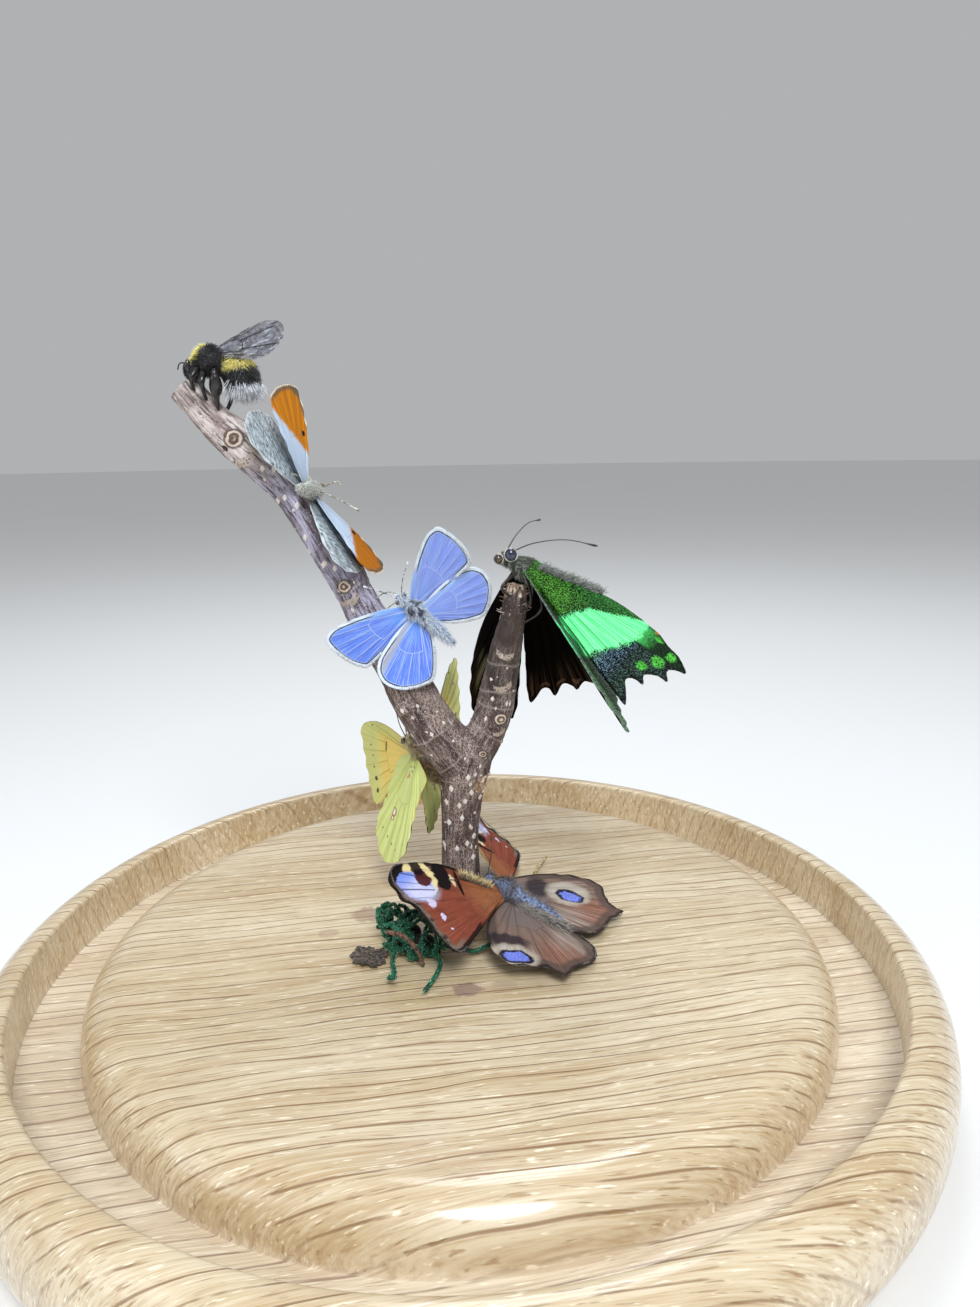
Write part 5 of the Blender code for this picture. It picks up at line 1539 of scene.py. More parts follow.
GREEN_LEGS = [
    [(13.2, 8.4, 90.4), (9, 5, 87.4), (12, 8.6, 84.4)],
    [(14, 8.2, 89.8), (14.6, 4.6, 84.4), (11.8, 8.4, 81.2)],
    [(15, 8.4, 89.4), (16.8, 5.4, 83), (11.4, 8.6, 78.4)],
    [(12.6, 10.8, 89.8), (10, 13.2, 86.6), (12, 9.4, 83.4)],
    [(14.4, 11.4, 88.8), (15.6, 13.6, 84.4), (11.8, 9.4, 80.4)],
]
GREEN_FEELERS = [
    [(10.6, 7.8, 93.6), (15.4, 6.8, 95.6), (21.6, 6.4, 96.2), (27.8, 6.2, 94.9)],
    [(10.2, 9.2, 93.8), (12.6, 13, 96.8), (15.4, 18.4, 98.6), (18.4, 23.6, 98.8)],
]
torso = torso_of("green", GREEN_BODY, (4, 7), 0.12, 28, "green_skin", (86, 92, 66), (30, 32, 26), 0.7)
legs = limbs("green_legs", GREEN_LEGS, (0.3, 0.16), 12, "black_leg", (56, 48, 40), (14, 12, 12), 0.4)
feelers = limbs("green_feelers", GREEN_FEELERS, (0.12, 0.09, 0.15, 10), 12, "black_feeler", (44, 42, 44),
                (12, 12, 14), 0.4)
eye_near = ball("eye", (11, 6.9, 93.5), (1.2, 1.1, 1.25))
eye_far = ball("eye", (8.6, 7.6, 92.6), (0.95, 1, 1))
dressed(eye_near, eye_material("grey_eye", (66, 76, 106), (24, 26, 40)))
dressed(eye_far, eye_material("brown_eye", (96, 80, 70), (34, 28, 28)))
rings = []
for centre, radius, way in (((11, 7.1, 93.4), 1.28, (0.1, -1, 0.25)),
                            ((8.7, 7.8, 92.6), 1.02, (-0.5, -0.8, 0))):
    bpy.ops.object.select_all(action="DESELECT")
    bpy.ops.mesh.primitive_torus_add(location=Vector(centre) * MM, major_radius=radius * MM,
                                     minor_radius=0.13 * MM,
                                     major_segments=36, minor_segments=10)
    ring = bpy.context.object
    ring.rotation_euler = Vector(way).to_track_quat("Z", "Y").to_euler()
    bpy.ops.object.transform_apply(location=True, rotation=True, scale=True)
    bpy.ops.object.shade_smooth()
    rings.append(dressed(ring, chitin("eye_rim", (222, 220, 206), (150, 146, 130), 0.7)))


def swallowtail_shade(places, rng):
    """Dark green hair, rows of grey-white under the thorax, light grey on the abdomen."""
    tones = shades_of(rng, len(places), (64, 84, 44), (46, 60, 34), (92, 108, 64), (36, 40, 34), spread=0.2)
    pale = shades_of(rng, len(places), (212, 214, 212), (176, 180, 178), (134, 138, 136))
    rows = np.sin((places[:, 0] * 0.9 + places[:, 2] * 0.15) * 5.2) > 0
    low = places[:, 2] < 92.3 - (places[:, 0] - 10) * 0.25
    hind = places[:, 0] > 16.5 + rng.normal(0, 0.5, len(places))
    return np.ones(len(places), bool), np.where(((rows & low) | hind)[:, None], pale, tones)


rng = np.random.default_rng(51)
coat = fur("green_fur", torso, 6000, rng, (0.9, 0, -0.4), 0.9, (0.4, 1.2), 0.1, swallowtail_shade, 0.1)
GREEN_HEM_HAIRS = 2600               # along the near hindwing's upper edge
hem_share = rng.uniform(0.05, 0.8, GREEN_HEM_HAIRS)
hem_start, hem_end = np.array((16, 6.9, 91.2)), np.array((31.6, 3.6, 84.8))
hem_roots = hem_start + hem_share[:, None] * (hem_end - hem_start)
hem_roots += rng.normal(0, 0.35, (GREEN_HEM_HAIRS, 3))
hem_ways = (0.75, 0.1, 0.42) + rng.normal(0, 0.28, (GREEN_HEM_HAIRS, 3))
hem_lengths = rng.uniform(0.7, 1.9, GREEN_HEM_HAIRS) * (1 - 0.3 * hem_share)
hem = spikes("green_hem", hem_roots, hem_ways, hem_lengths, 0.09,
             shades_of(rng, GREEN_HEM_HAIRS, (170, 174, 168), (130, 136, 130), (92, 106, 72),
                       (206, 208, 202)), 0.1)
swallowtail_hair = hair_material("swallowtail_hair", 0.7, 0.6)
for piece in (coat, hem):
    dressed(piece, swallowtail_hair)
coat = join("green_fur", [coat, hem])
green_body = join("green_body", [torso, legs, feelers, eye_near, eye_far] + rings)
for piece in (green_wings, green_body, coat):
    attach(piece, "root")
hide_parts("green_butterfly")


# ---- The peacock butterfly ----
# It lies at the foot of the trunk, its left forewing raised and its hindwings spread on
# the wood: rust-red wings with eyespots, ragged brown margins and a grey dusty body.
PEACOCK_FOREWING = [
    (0, 1), (5, 2.8), (12, 4.4), (19, 4.2), (25, 2.8), (28.2, 0.6), (28.8, -2.6), (27.4, -6),
    (24.8, -8), (23.4, -11.4), (22.2, -14.6), (20, -17), (17.6, -16.6), (11, -11),
    (5, -6), (0.4, -2.6),
]
PEACOCK_HINDWING = [
    (0, 1.8), (4.8, 4), (10.6, 4.7), (16.4, 3.7), (20.2, 1.6), (21.9, -1.4), (21.2, -4.4),
    (20.9, -7.7), (22.5, -10.8), (19.2, -12.3), (17.3, -14.4), (14.8, -16.5), (10.6, -16.5),
    (6.8, -13.4), (3.3, -8.6), (0, -3),
]
PEACOCK_WINGS = [                     # name, outline, base, tip, rear corner, lift
    ("forewing_left", PEACOCK_FOREWING, (8, 1.8, 25), (-13.2, -15.5, 36.6), (-1.7, -23.6, 26.6),
     (-0.6, 0.5, 0.6)),
    ("hindwing_left", PEACOCK_HINDWING, (10.4, 0.4, 22.8), (18.6, -24, 20.6), (25.4, -16.4, 19.6),
     (0.4, -0.2, 0)),
    ("forewing_right", PEACOCK_FOREWING, (9, 4.6, 25), (0.8, 33.6, 33), (13.4, 33.6, 20.6), (-0.4, 0.3, 0.4)),
    ("hindwing_right", PEACOCK_HINDWING, (8.8, 4.6, 24.4), (32.4, 0.2, 19.9), (26, -8.6, 20.4),
     (0.6, -0.2, 0)),
]


def peacock_forewing_upper():
    """Rust red with the eyespot near the tip, black and cream patches along the front edge."""
    side = Scales("peacock_fore_upper", (138, 70, 52), 9)
    side.over((158, 92, 58), 0.6, ("out", 0.52, 0.1))
    side.over((112, 56, 42), 0.6, ("cloud", 0.45, 0.66))
    side.dusted((172, 104, 80), (98, 46, 36), 0.45)
    side.over((86, 38, 30), 0.35, side.lines)
    gold = times(ramp(side.out, 0.5, 0.25), ramp(side.speckle, 0.46, 0.56))
    side.over((188, 142, 88), 0.45, gold)
    side.over((204, 170, 116), 0.8, ("y", 1.4, 3), ("x", 11.5, 9))
    side.over((52, 40, 32), 0.8, ("y", 0.8, 2.6), ("streak", 0.54, 0.42))
    margin = side.uneven(side.edge, 0.2, 0.9)
    outer = ramp(side.x, 15, 18.5)
    rim = times(ramp(margin, 2, 1.6), outer)
    side.over((124, 106, 92), 0.95, rim)
    side.over((58, 44, 38), 0.8, rim, ("between", 0.3, 0.12))
    side.over((74, 58, 50), 0.5, rim, ("streak", 0.42, 0.56))
    side.over((20, 16, 18), 0.98, side.oval((15.4, 1.4), (2.15, 3.7), 4, 0.08))
    side.over((22, 16, 18), 0.98, segment(side, (11.3, 3.6), (11.5, -3.2), 0.5, 0.2))
    side.over((228, 210, 170), 0.95, side.oval((12.8, 0.7), (0.55, 1.5), -4, 0.2))
    side.over((20, 16, 16), 0.9, ("edge", 1, 0.8), ("x", 9.5, 11))
    side.over((20, 16, 20), 0.97, side.oval((22.4, -0.7), (5.3, 5.1), 0, 0.05, 0.06))
    side.over((232, 212, 156), 0.98, side.oval((21, 0.2), (3.9, 4.5), 0, 0.06, 0.1))
    lilac = side.oval((22.8, -2), (4.4, 3.3), -8, 0.07, 0.15)
    side.over((150, 160, 232), 0.98, lilac)
    side.over((222, 220, 246), 0.9, side.oval((22, -2.9), (4, 2.7), -8, 0.4), ("speckle", 0.3, 0.5))
    side.over((96, 138, 226), 0.5, side.oval((25, 0), (2.2, 2.6), 0, 0.5), lilac)
    side.over((52, 46, 96), 0.75, lilac, ("between", 0.14, 0.05))
    side.over((52, 46, 96), 0.6, lilac, ("between", 0.9, 0.98))
    side.over((76, 24, 20), 0.98, side.oval((20.5, 0.2), (2, 2), 20, 0.1, 0.3))
    side.over((22, 14, 18), 0.96, side.oval((21.2, 2.5), (1.5, 1.9), -10, 0.15, 0.3))
    for place, half in (((20.7, -5.9), (1.1, 1)), ((19.3, -9.1), (0.6, 0.85)), ((18.4, -11.8), (0.3, 0.3))):
        side.over((214, 206, 236), 0.95, side.oval(place, half, 0, 0.2, 0.5))
    side.over((26, 18, 16), 0.8, ("edge", 0.5, 0.3, 0.12, 3), outer)
    return side.done()


PEACOCK_EYES = [                      # ring's centre and half size, eye's the same, turn, dark patch
    ((19.3, -1), (3.8, 4.8), (19.5, -1.6), (2.2, 3.3), 0, (14, 0.4), (2, 4.2)),
    ((13.2, -3.2), (4.7, 4.3), (13.2, -4.2), (3.1, 2.1), -34, (7.4, -0.4), (2.6, 3.8)),
]


def peacock_hindwing_upper(name, ring_at, ring_half, eye_at, eye_half, turn, dark_at, dark_half):
    """Dusty brown with a rusty patch and a blue eyespot in a wide pale ring."""
    side = Scales(name, (130, 106, 94), 9)
    side.over((140, 90, 72), 0.85, side.oval((15.5, -10), (5, 4), 0, 0.6, 0.5))
    side.dusted((176, 156, 142), (70, 54, 48), 0.6)
    side.over((120, 108, 104), 0.8, ("out", 0.52, 0.3, 0.12))
    side.over((172, 162, 152), 0.8, ("y", -6.5, -10, 1), ("x", 16, 10), ("streak", 0.42, 0.56))
    side.over((66, 48, 42), 0.4, side.lines)
    margin = side.uneven(side.edge, 0.3, 1)
    side.over((84, 70, 64), 0.8, ramp(margin, 2.6, 1.6), ("out", 0.5, 0.7))
    side.over((38, 30, 30), 0.8, ("edge", 0.8, 0.4, 0.15, 2.5), ("out", 0.5, 0.7))
    side.over((44, 38, 46), 0.85, side.oval(dark_at, dark_half, turn * 0.5, 0.3, 0.2))
    side.over((176, 164, 150), 0.92, side.oval(ring_at, ring_half, turn * 0.7, 0.16, 0.15))
    side.over((206, 200, 192), 0.6, side.oval(ring_at, [0.8 * half for half in ring_half], turn * 0.7, 0.2),
              ("streak", 0.44, 0.6))
    side.over((20, 16, 26), 0.98, side.oval(eye_at, eye_half, turn, 0.1, 0.15))
    blue = side.oval(eye_at, [0.72 * half for half in eye_half], turn, 0.15, 0.35)
    side.over((92, 112, 220), 0.97, blue)
    side.over((176, 186, 244), 0.8, blue, ("speckle", 0.48, 0.6))
    side.over((20, 16, 40), 0.8, blue, ("speckle", 0.42, 0.34))
    return side.done()


def peacock_underside(name):
    """Nearly black, with fine wavy brown lines, like charred wood."""
    side = Scales(name, (42, 33, 29), 9, 0.8)
    waves = noise(stretch(side.place, (0.7, 3.4, 1)), 1, 3, 0.6)
    side.over((74, 60, 50), 0.7, ramp(waves, 0.5, 0.58))
    side.over((18, 14, 13), 0.8, ramp(waves, 0.44, 0.36))
    side.dusted((92, 78, 64), (14, 11, 10), 0.35)
    side.over((110, 96, 80), 0.35, ("edge", 2.4, 1.6, 0.4), ("x", 14, 16))
    side.over((16, 12, 12), 0.6, side.lines)
    return side.done()


under = peacock_underside("peacock_under")
fore_pair = (peacock_forewing_upper(), under)
hind_left, hind_right = [(peacock_hindwing_upper(name, *marks), under) for name, marks in
                         zip(("peacock_hind_left", "peacock_hind_right"), PEACOCK_EYES)]
rng = np.random.default_rng(61)
sheets, fringes = [], []
PEACOCK_VEINS = {"fore": ((0.34, 0.8, 9), (0.46, 1.2, 5.2)), "hind": ((0.26, 0.8, 9), (0.4, 2, 5.4))}
PEACOCK_SPANS = {"fore": (0.34, 0.72), "hind": (0.3, 0.8)}
for name, *places, lift in PEACOCK_WINGS:
    sheets.append(wing("peacock_" + name, *places, 1, *PEACOCK_VEINS[name[:4]], lift, 0.16, 0.3))
    fringes.append(fringe("peacock_fringe", *places, PEACOCK_SPANS[name[:4]], 0.45, 0.08, 700,
                          [(84, 66, 56), (40, 30, 28), (140, 120, 104)], rng, 0.3))
peacock_wings = finish_wings("peacock_wings", sheets, [fore_pair, hind_left, fore_pair, hind_right])
PEACOCK_BODY = [
    (4.7, 4.3, 26.8, 0.6), (5.6, 4.1, 26.4, 1.35), (6.8, 3.8, 25.8, 1.1), (9.2, 3.2, 24.6, 2.3),
    (11.8, 1.6, 23.2, 1.65), (16, -1.2, 21.8, 1.7), (20.2, -4.4, 20.9, 0.6),
]
PEACOCK_LEGS = [
    [(7.8, 3, 24), (4.2, 0.6, 23.6), (2.6, -1.4, 18.6)],
    [(9.4, 1.8, 23), (7.6, -1.8, 22.2), (7.2, -4.6, 18.6)],
    [(8.4, 4.6, 23.4), (6.4, 8.4, 23.6), (8, 11.6, 18.6)],
    [(10.2, 4.4, 22.8), (12.4, 7.4, 22.2), (13.8, 9.4, 18.6)],
    [(7, 3.6, 24.6), (4.6, 4.6, 22.6), (1, 8.4, 23)],
]
PEACOCK_FEELERS = [
    [(5.2, 3.4, 27), (1.4, -1.2, 29.2), (-3, -4.6, 31)],
    [(5.4, 4.8, 27.2), (6.4, 9.2, 29.8), (6.8, 14, 31.6)],
]
torso = torso_of("peacock", PEACOCK_BODY, (4, 7), 0.14, 28, "dusty_skin", (136, 152, 188), (66, 76, 104),
                 0.75)
legs = limbs("peacock_legs", PEACOCK_LEGS, (0.24, 0.13), 12, "brown_leg", (96, 70, 50), (40, 28, 22), 0.5)
feelers = limbs("peacock_feelers", PEACOCK_FEELERS, (0.12, 0.11, 0.2), 10, "brown_feeler", (90, 74, 60),
                (36, 28, 24), 0.5)
eyes = eye_pair((5.2, 3.6, 26.6), (0.8, 0.7, 0), (0.75, 0.75, 0.8), "peacock_eye", (88, 64, 50), (26, 18, 16))


def peacock_shade(places, rng):
    """Brown-black and tawny hair on the thorax, sparse blue-grey on the abdomen."""
    front = places[:, 0] < 11
    tones = np.where(front[:, None], shades_of(rng, len(places), (70, 54, 42), (120, 92, 60), (40, 32, 28)),
                     shades_of(rng, len(places), (150, 162, 196), (100, 108, 136), (70, 66, 66)))
    return front | (rng.uniform(0, 1, len(places)) < 0.12), tones


coat = fur("peacock_fur", torso, 4800, rng, (0.8, -0.5, -0.3), 0.7, (0.5, 1.7), 0.085, peacock_shade, 0.1)
COMB_HAIRS, HEM_HAIRS = 420, 2400    # on the raised forewing's front edge, and beside the abdomen
comb_share = rng.uniform(0, 1, (COMB_HAIRS, 1))
comb_roots = (5.7, 0.5, 26.2) + comb_share * (-6, -3.5, 4.8) + rng.normal(0, 0.12, (COMB_HAIRS, 3))
comb_ways = (0.25, -0.1, 0.9) + rng.normal(0, 0.22, (COMB_HAIRS, 3))
comb = spikes("peacock_comb", comb_roots, comb_ways, rng.uniform(1, 2.3, COMB_HAIRS), 0.15,
              shades_of(rng, COMB_HAIRS, (244, 230, 180), (220, 196, 130), (130, 104, 64)))
hem_share = rng.uniform(0, 1, (HEM_HAIRS, 1))
hem_roots = (11.4, -0.6, 22.8) + hem_share * (9, -6.4, -1.8) + rng.normal(0, 0.4, (HEM_HAIRS, 3))
hem_ways = (0.6, -0.6, 0.1) + rng.normal(0, 0.35, (HEM_HAIRS, 3))
hem = spikes("peacock_hem", hem_roots, hem_ways, rng.uniform(0.8, 2.4, HEM_HAIRS), 0.08,
             shades_of(rng, HEM_HAIRS, (190, 178, 164), (110, 98, 90), (214, 204, 190)), 0.1)
tawny = hair_material("tawny_hair", 0.7)
for piece in [coat, comb, hem] + fringes:
    dressed(piece, tawny)
coat = join("peacock_fur", [coat, comb, hem] + fringes)
peacock_body = join("peacock_body", [torso, legs, feelers] + eyes)
for piece in (peacock_wings, peacock_body, coat):
    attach(piece, "root")
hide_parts("peacock_butterfly")


# ---- The bumblebee ----
# A buff-tailed bumblebee on the cut end: black fur with a yellow collar and band and a
# white tail, shiny black legs and smoky clear wings folded back over it.
BEE_LUMPS = [                         # name, centre, half length, half width, direction
    ("bee_head", (-47.7, 9.6, 128.9), 2, 1.5, (-0.3, 0, -1)),
    ("bee_thorax", (-44.5, 9.6, 130.4), 2.6, 2.3, (-0.8, 0, 0.2)),
    ("bee_abdomen", (-38.9, 9.8, 127.7), 3.7, 2.5, (0.2, 0, -1)),
    ("bee_waist", (-41.6, 9.7, 129.4), 1.8, 1.6, (1, 0, -0.5)),
]
BEE_LEGS = [
    [(-46.4, 8.2, 129), (-47.4, 6.8, 127), (-47.6, 8.8, 124.8)],
    [(-45.2, 8, 128.8), (-45.4, 6, 126), (-45.4, 8.8, 123)],
    [(-43.6, 8, 128.8), (-43, 6.2, 127.4), (-43.4, 8.6, 121.4)],
    [(-45.8, 10.8, 129.6), (-47.2, 13.4, 126.8), (-47.8, 12.2, 124.6)],
    [(-44.4, 10.8, 129.4), (-44.8, 13.6, 125), (-45.8, 12.2, 122.4)],
    [(-43.2, 10.8, 129.4), (-41.8, 13.2, 124.4), (-43.2, 12, 120.4)],
]
BEE_FEELERS = [
    [(-48.4, 8.6, 129.8), (-49.6, 8, 129.8), (-50, 7.6, 128.6)],
    [(-48.4, 10.2, 129.8), (-49.6, 10.8, 129.8), (-49.9, 11.2, 128.6)],
]
BEE_WING = [
    (0, 0.6), (4, 1.3), (9, 1.7), (12, 1), (13, -0.6), (11.4, -2.8), (8, -3.7), (4, -2.8), (0, -0.8),
]
BEE_WINGS = [
    ((-43, 8.6, 131.8), (-29.8, 5.5, 135.2), (-31.6, 6, 131.9)),
    ((-43, 10.6, 132), (-33, 12.5, 135.9), (-31, 13.4, 133.2)),
]
black_skin = chitin("bee_skin", (34, 30, 30), (8, 8, 9), 0.25)
lumps = []
for name, centre, long, wide, way in BEE_LUMPS:
    lump = ball(name, (0, 0, 0), (wide, wide, long))
    lump.rotation_euler = Vector(way).to_track_quat("Z", "Y").to_euler()
    lump.location = Vector(centre) * MM
    bpy.ops.object.transform_apply(location=True, rotation=True, scale=True)
    lumps.append(dressed(lump, black_skin))


def bee_shade(places, rng):
    """Black fur with a yellow collar, a yellow band and a white tail."""
    count = len(places)
    tones = shades_of(rng, count, (20, 18, 18), (34, 30, 28), (12, 11, 12))
    yellow = shades_of(rng, count, (255, 240, 128), (246, 222, 92), (255, 250, 180))
    white = shades_of(rng, count, (226, 230, 236), (200, 208, 218), (244, 246, 250))
    ragged = rng.normal(0, 0.25, count)
    ahead = -(places[:, 0] + 44.5) * 0.8 + (places[:, 2] - 130.4) * 0.6
    collar = (ahead > 1.9 + ragged) & (places[:, 2] > 130 + ragged) & (places[:, 0] > -48)
    on_tail = places[:, 0] > -42.2
    down = (places[:, 2] - 127.7) - (places[:, 0] + 38.9) * 0.2
    band = on_tail & (down < 3.6 + ragged) & (down > 1.5 + ragged)
    end = on_tail & (down < -1.5 + ragged)
    tones = np.where((collar | band)[:, None], yellow, tones)
    return np.ones(count, bool), np.where(end[:, None], white, tones)


rng = np.random.default_rng(71)
COATS = [                             # lump, hairs, tail direction, lean, lengths
    (lumps[0], 1600, (0, 0, -1), 0.5, (0.3, 0.8)), (lumps[1], 5200, (0.6, 0, -0.3), 0.3, (0.7, 1.5)),
    (lumps[2], 7000, (0.05, 0, -1), 0.9, (0.7, 1.9)), (lumps[3], 1300, (0.5, 0, -0.6), 0.6, (0.6, 1.2)),
]
coats = [fur("bee_coat", lump, count, rng, tail, lean, lengths, 0.11, bee_shade, 0.15)
         for lump, count, tail, lean, lengths in COATS]
TAIL_HAIRS = 1500
tail_roots = (-38.6, 9.6, 125.6) + rng.normal(0, 1, (TAIL_HAIRS, 3)) * (1.1, 1.1, 0.6)
tail_ways = (tail_roots - (-39, 9.8, 129)) * (0.7, 0.7, 1) + rng.normal(0, 0.3, (TAIL_HAIRS, 3))
coats.append(spikes("bee_coat", tail_roots, tail_ways, rng.uniform(1.3, 2.8, TAIL_HAIRS), 0.13,
                    shades_of(rng, TAIL_HAIRS, (236, 240, 246), (206, 214, 226), (250, 252, 255))))
bee_hair = hair_material("bee_hair", 0.6, 1.1)
for piece in coats:
    dressed(piece, bee_hair)
bee_coat = join("bee_fur", coats)
legs = tubes("bee_legs", [limb(points, 0.68, 0.28) for points in BEE_LEGS], 14)
shins = []
for points in BEE_LEGS[2:3]:
    knee, foot = Vector(points[1]), Vector(points[2])
    shins.append([(*(knee + (foot - knee) * share), width) for share, width in
                  ((-0.05, 0.5), (0.08, 0.95), (0.3, 1.2), (0.5, 1), (0.64, 0.5), (0.95, 0.34))])
shins = tubes("bee_shins", [through(points, 4) for points in shins], 14)
feelers = tubes("bee_feelers", [limb(points, 0.15, 0.12) for points in BEE_FEELERS], 10)
for piece in (legs, shins, feelers):
    dressed(piece, black_skin)
eyes = eye_pair((-48.3, 9.6, 129.4), (0, 1.35, 0), (0.55, 0.45, 1.1), "bee_eye", (50, 46, 46), (10, 10, 12))
bee_body = join("bee_body", lumps + [legs, shins, feelers] + eyes)

smoky, tree, shader = new_material("smoky_wing", 0.28)
shader.inputs["IOR"].default_value = 1.45
place = read(tree, "wing")
inputs = {"Veins": read(tree, "veins"), "Cell": read(tree, "cell", "Fac"), "Count": 6}
lines = add(tree, "Group", inputs, node_tree=vein_lines).outputs["Lines"]
tone = paint((92, 92, 100), (140, 140, 148), ramp(noise(place, 1.1), 0.4, 0.6))
# Pale bluish-white streaks along the wing: painted glints.
streak = noise(stretch(place, (3.2, 0.45, 1)), 1, 3)
tone = paint(tone, (206, 212, 222), ramp(streak, 0.55, 0.66, 0.8))
tone = paint(tone, (40, 28, 20), lines)
tree.links.new(tone, shader.inputs["Base Color"])
clear = ramp(noise(place, 0.8), 0.35, 0.65, 0.62, 0.38)
tree.links.new(calc("MAXIMUM", clear, lines), shader.inputs["Alpha"])
relief(shader, plus(noise(place, 1.6), lines), 0.00025)
sheets = [wing(f"bee_wing_{number}", BEE_WING, *places, 1, (0.2, 0.8, 6), (0.42, 0.6, 3.4),
               (-0.4, 0.3, 0.5), 0.12)
          for number, places in enumerate(BEE_WINGS)]
bee_wings = finish_wings("bee_wings", sheets, [(smoky, smoky)] * 2)
for piece in (bee_body, bee_coat, bee_wings):
    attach(piece, "root")
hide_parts("bumblebee")


# ---- The dyed moss ----
# A pinch of emerald-dyed moss glued at the foot of the twig. Each strand is a thin stem
# with short soft leaflets all round, like chenille.
MOSS_STRANDS = [                      # routes of the loose strands
    [(-12.6, -10, 20.6), (-13.4, -14, 19.8), (-12.8, -18.2, 19.6), (-13.6, -20.6, 20.2),
     (-12.4, -21.6, 20.9)],
    [(-6, -11.6, 20), (-4.4, -15.6, 19.7), (-5.4, -20, 19.5), (-7, -24, 19.6)],
    [(-5.6, -10.6, 20.6), (-1, -10.4, 19.8), (2, -11.8, 19.7), (5.2, -10.6, 20.3)],
]
MOSS_LUMPS = [                        # centre and radius of the tangles
    ((-13.6, -4.6, 22.6), 3.8), ((-9.6, -6.6, 22), 3.6), ((-12.6, -9.2, 21.6), 3.2),
    ((-6, -10.4, 20.8), 2.6), ((-9.4, -11.6, 20.4), 2.2), ((-14.6, -6.8, 25.2), 2.4),
]
LEAFLETS_PER_MM = 24
rng = np.random.default_rng(81)
routes = [(through([(*point, 0.42) for point in points], 10), 0.85) for points in MOSS_STRANDS]
for centre, radius in MOSS_LUMPS:
    for turn in range(int(radius * 5.5)):
        way = rng.normal(0, 1, 3)
        knots = []
        spot = np.array(centre) + rng.normal(0, radius * 0.35, 3)
        for step in range(6):
            way = way * 0.6 + rng.normal(0, 0.9, 3)
            spot = spot + way / np.linalg.norm(way) * radius * 0.42
            out = spot - centre
            if np.linalg.norm(out) > radius * 0.92:
                spot = centre + out / np.linalg.norm(out) * radius * 0.92
            spot[2] = max(spot[2], 19.1)
            knots.append((*spot, 0.34))
        routes.append((through(knots, 6), rng.uniform(0.55, 0.85)))
stems = tubes("moss_stems", [route for route, _ in routes], 8)
dressed(stems, chitin("moss_stem", (20, 96, 68), (6, 40, 30), 0.8))
roots, ways, lengths = [], [], []
for route, reach in routes:
    route = route[:, :3]
    length = walked(route)
    count = int(length[-1] * LEAFLETS_PER_MM)
    at = rng.uniform(0, length[-1], count)
    middle = points_at(at, length, route)
    ahead = points_at(at + 0.3, length, route) - middle
    outward = rng.normal(0, 1, (count, 3))
    roots.append(middle)
    ways.append(outward / np.linalg.norm(outward, axis=1)[:, None] + ahead * 1.6)
    lengths.append(rng.uniform(0.5, 1.2, count) * reach)
roots, ways, lengths = np.concatenate(roots), np.concatenate(ways), np.concatenate(lengths)
leaflets = spikes("moss_leaflets", roots, ways, lengths, 0.18,
                  shades_of(rng, len(roots), (24, 160, 104), (50, 190, 128), (8, 92, 64), (116, 216, 164),
                            spread=0.25))
dressed(leaflets, hair_material("moss_leaf", 0.65, 0.5))
# Two dark lumps inside the clump: partly its brown fibres and debris, partly painted shade that darkens its
# interior.
MOSS_FIBRE_AND_SHADE = [((-11.8, -5.6, 20.6), (3.6, 2.8, 2)), ((-8.2, -8.8, 20), (3, 2.4, 1.6))]
fibre_and_shade_lumps = [dressed(ball("moss_fibre_and_shade", centre, size), chitin("moss_fibre_and_shade", (52, 40, 30), (16, 14, 12), 0.9))
         for centre, size in MOSS_FIBRE_AND_SHADE]
stems = join("moss_stems", [stems] + fibre_and_shade_lumps)
for piece in (stems, leaflets):
    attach(piece, "root")
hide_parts("moss_clump")


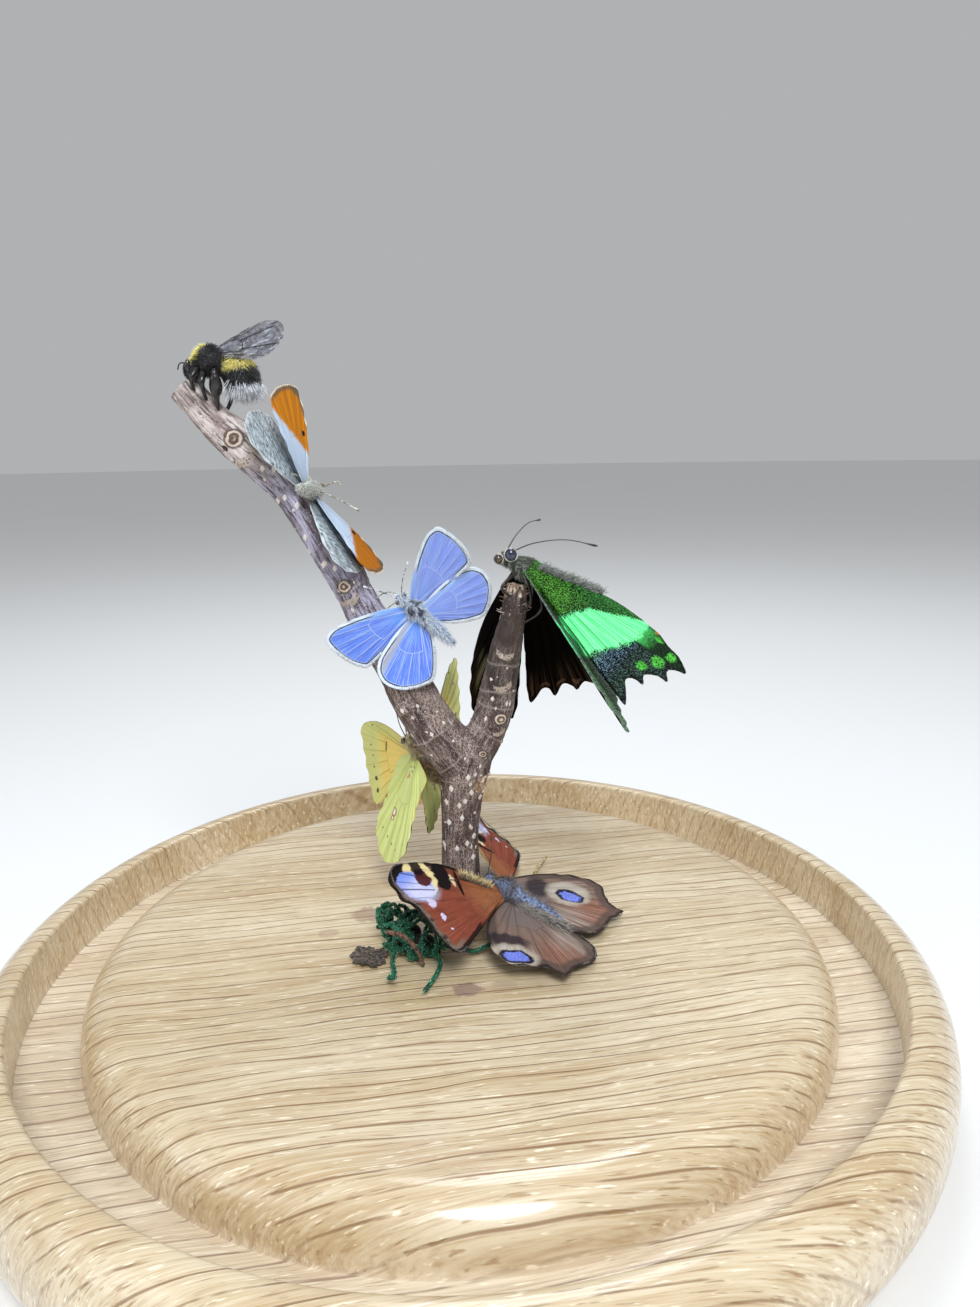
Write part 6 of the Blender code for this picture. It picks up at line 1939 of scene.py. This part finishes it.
# ---- The bent twig, the scrap and the bit of grass ----
# Small dry things that lie at the foot: a thin bent twig in the moss, a brown-black leaf
# scrap beside it, and a short piece of pale grass.
BENT_TWIG = [(-14.4, -14.2, 25.8, 0.42), (-11.4, -15, 25.4, 0.45), (-8.8, -15.4, 22.8, 0.42),
             (-7.6, -15, 19.2, 0.36)]
bent = tubes("bent_stem", [through(BENT_TWIG, 8)], 12)
place = points_of(bent)
move_points(bent, place + normals_of(bent) * 0.1 * rough(place, (0.6, 0.6, 0.6), 4)[:, None])
dressed(bent, chitin("thin_bark", (132, 98, 76), (50, 34, 28), 0.8))
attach(bent, "root")
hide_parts("bent_twig")
GRASS_BIT = [(16.6, 20.6, 19.1, 0.42), (18, 22.6, 20.2, 0.45), (19.8, 25, 21.2, 0.3)]
grass = tubes("grass_stalk", [through(GRASS_BIT, 8)], 12)
dressed(grass, chitin("straw", (206, 192, 140), (130, 116, 78), 0.8))
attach(grass, "root")
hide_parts("grass_bit")
SCRAP = [(-21.4, -11.6), (-19.4, -13.8), (-16.2, -14.6), (-15, -12.6), (-16.6, -8.6), (-19.6, -8.2)]
bpy.ops.object.select_all(action="DESELECT")
bpy.ops.mesh.primitive_grid_add(x_subdivisions=48, y_subdivisions=48, size=2)
scrap = bpy.context.object
scrap.name = "leaf_scrap"
grid = points_of(scrap) * MM
angle, reach = np.arctan2(grid[:, 1], grid[:, 0]), np.abs(grid[:, :2]).max(1)
corners = np.array(SCRAP)
middle = corners.mean(0)
corner_angle = np.arctan2(*(corners - middle).T[::-1])
order = np.argsort(corner_angle)
corner_reach = np.linalg.norm(corners - middle, axis=1)
edge_reach = np.interp(angle, corner_angle[order], corner_reach[order], period=math.tau)
edge_reach *= 1 + 0.1 * np.sin(angle * 9) + 0.05 * np.sin(angle * 23 + 1)
flat = middle + np.stack([np.cos(angle), np.sin(angle)], 1) * (edge_reach * reach)[:, None]
curl = 0.3 + 0.7 * reach ** 4 * (0.5 + 0.5 * np.sin(angle * 3 + 0.6))
curl += 0.18 * rough(np.stack([flat[:, 0], flat[:, 1], reach], 1), (1.2, 1.2, 1), 6)
move_points(scrap, np.stack([flat[:, 0], flat[:, 1], 18.7 + np.clip(curl, 0.12, 1.2)], 1))
uv = scrap.data.uv_layers.active
scrap.data.uv_layers.remove(uv)
wall = scrap.modifiers.new("Wall", "SOLIDIFY")
wall.thickness = 0.22 * MM
bpy.ops.object.modifier_apply(modifier="Wall")
bpy.ops.object.shade_smooth()
dressed(scrap, chitin("leaf_black", (104, 88, 76), (22, 18, 20), 0.7))
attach(scrap, "root")
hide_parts("dry_scrap")
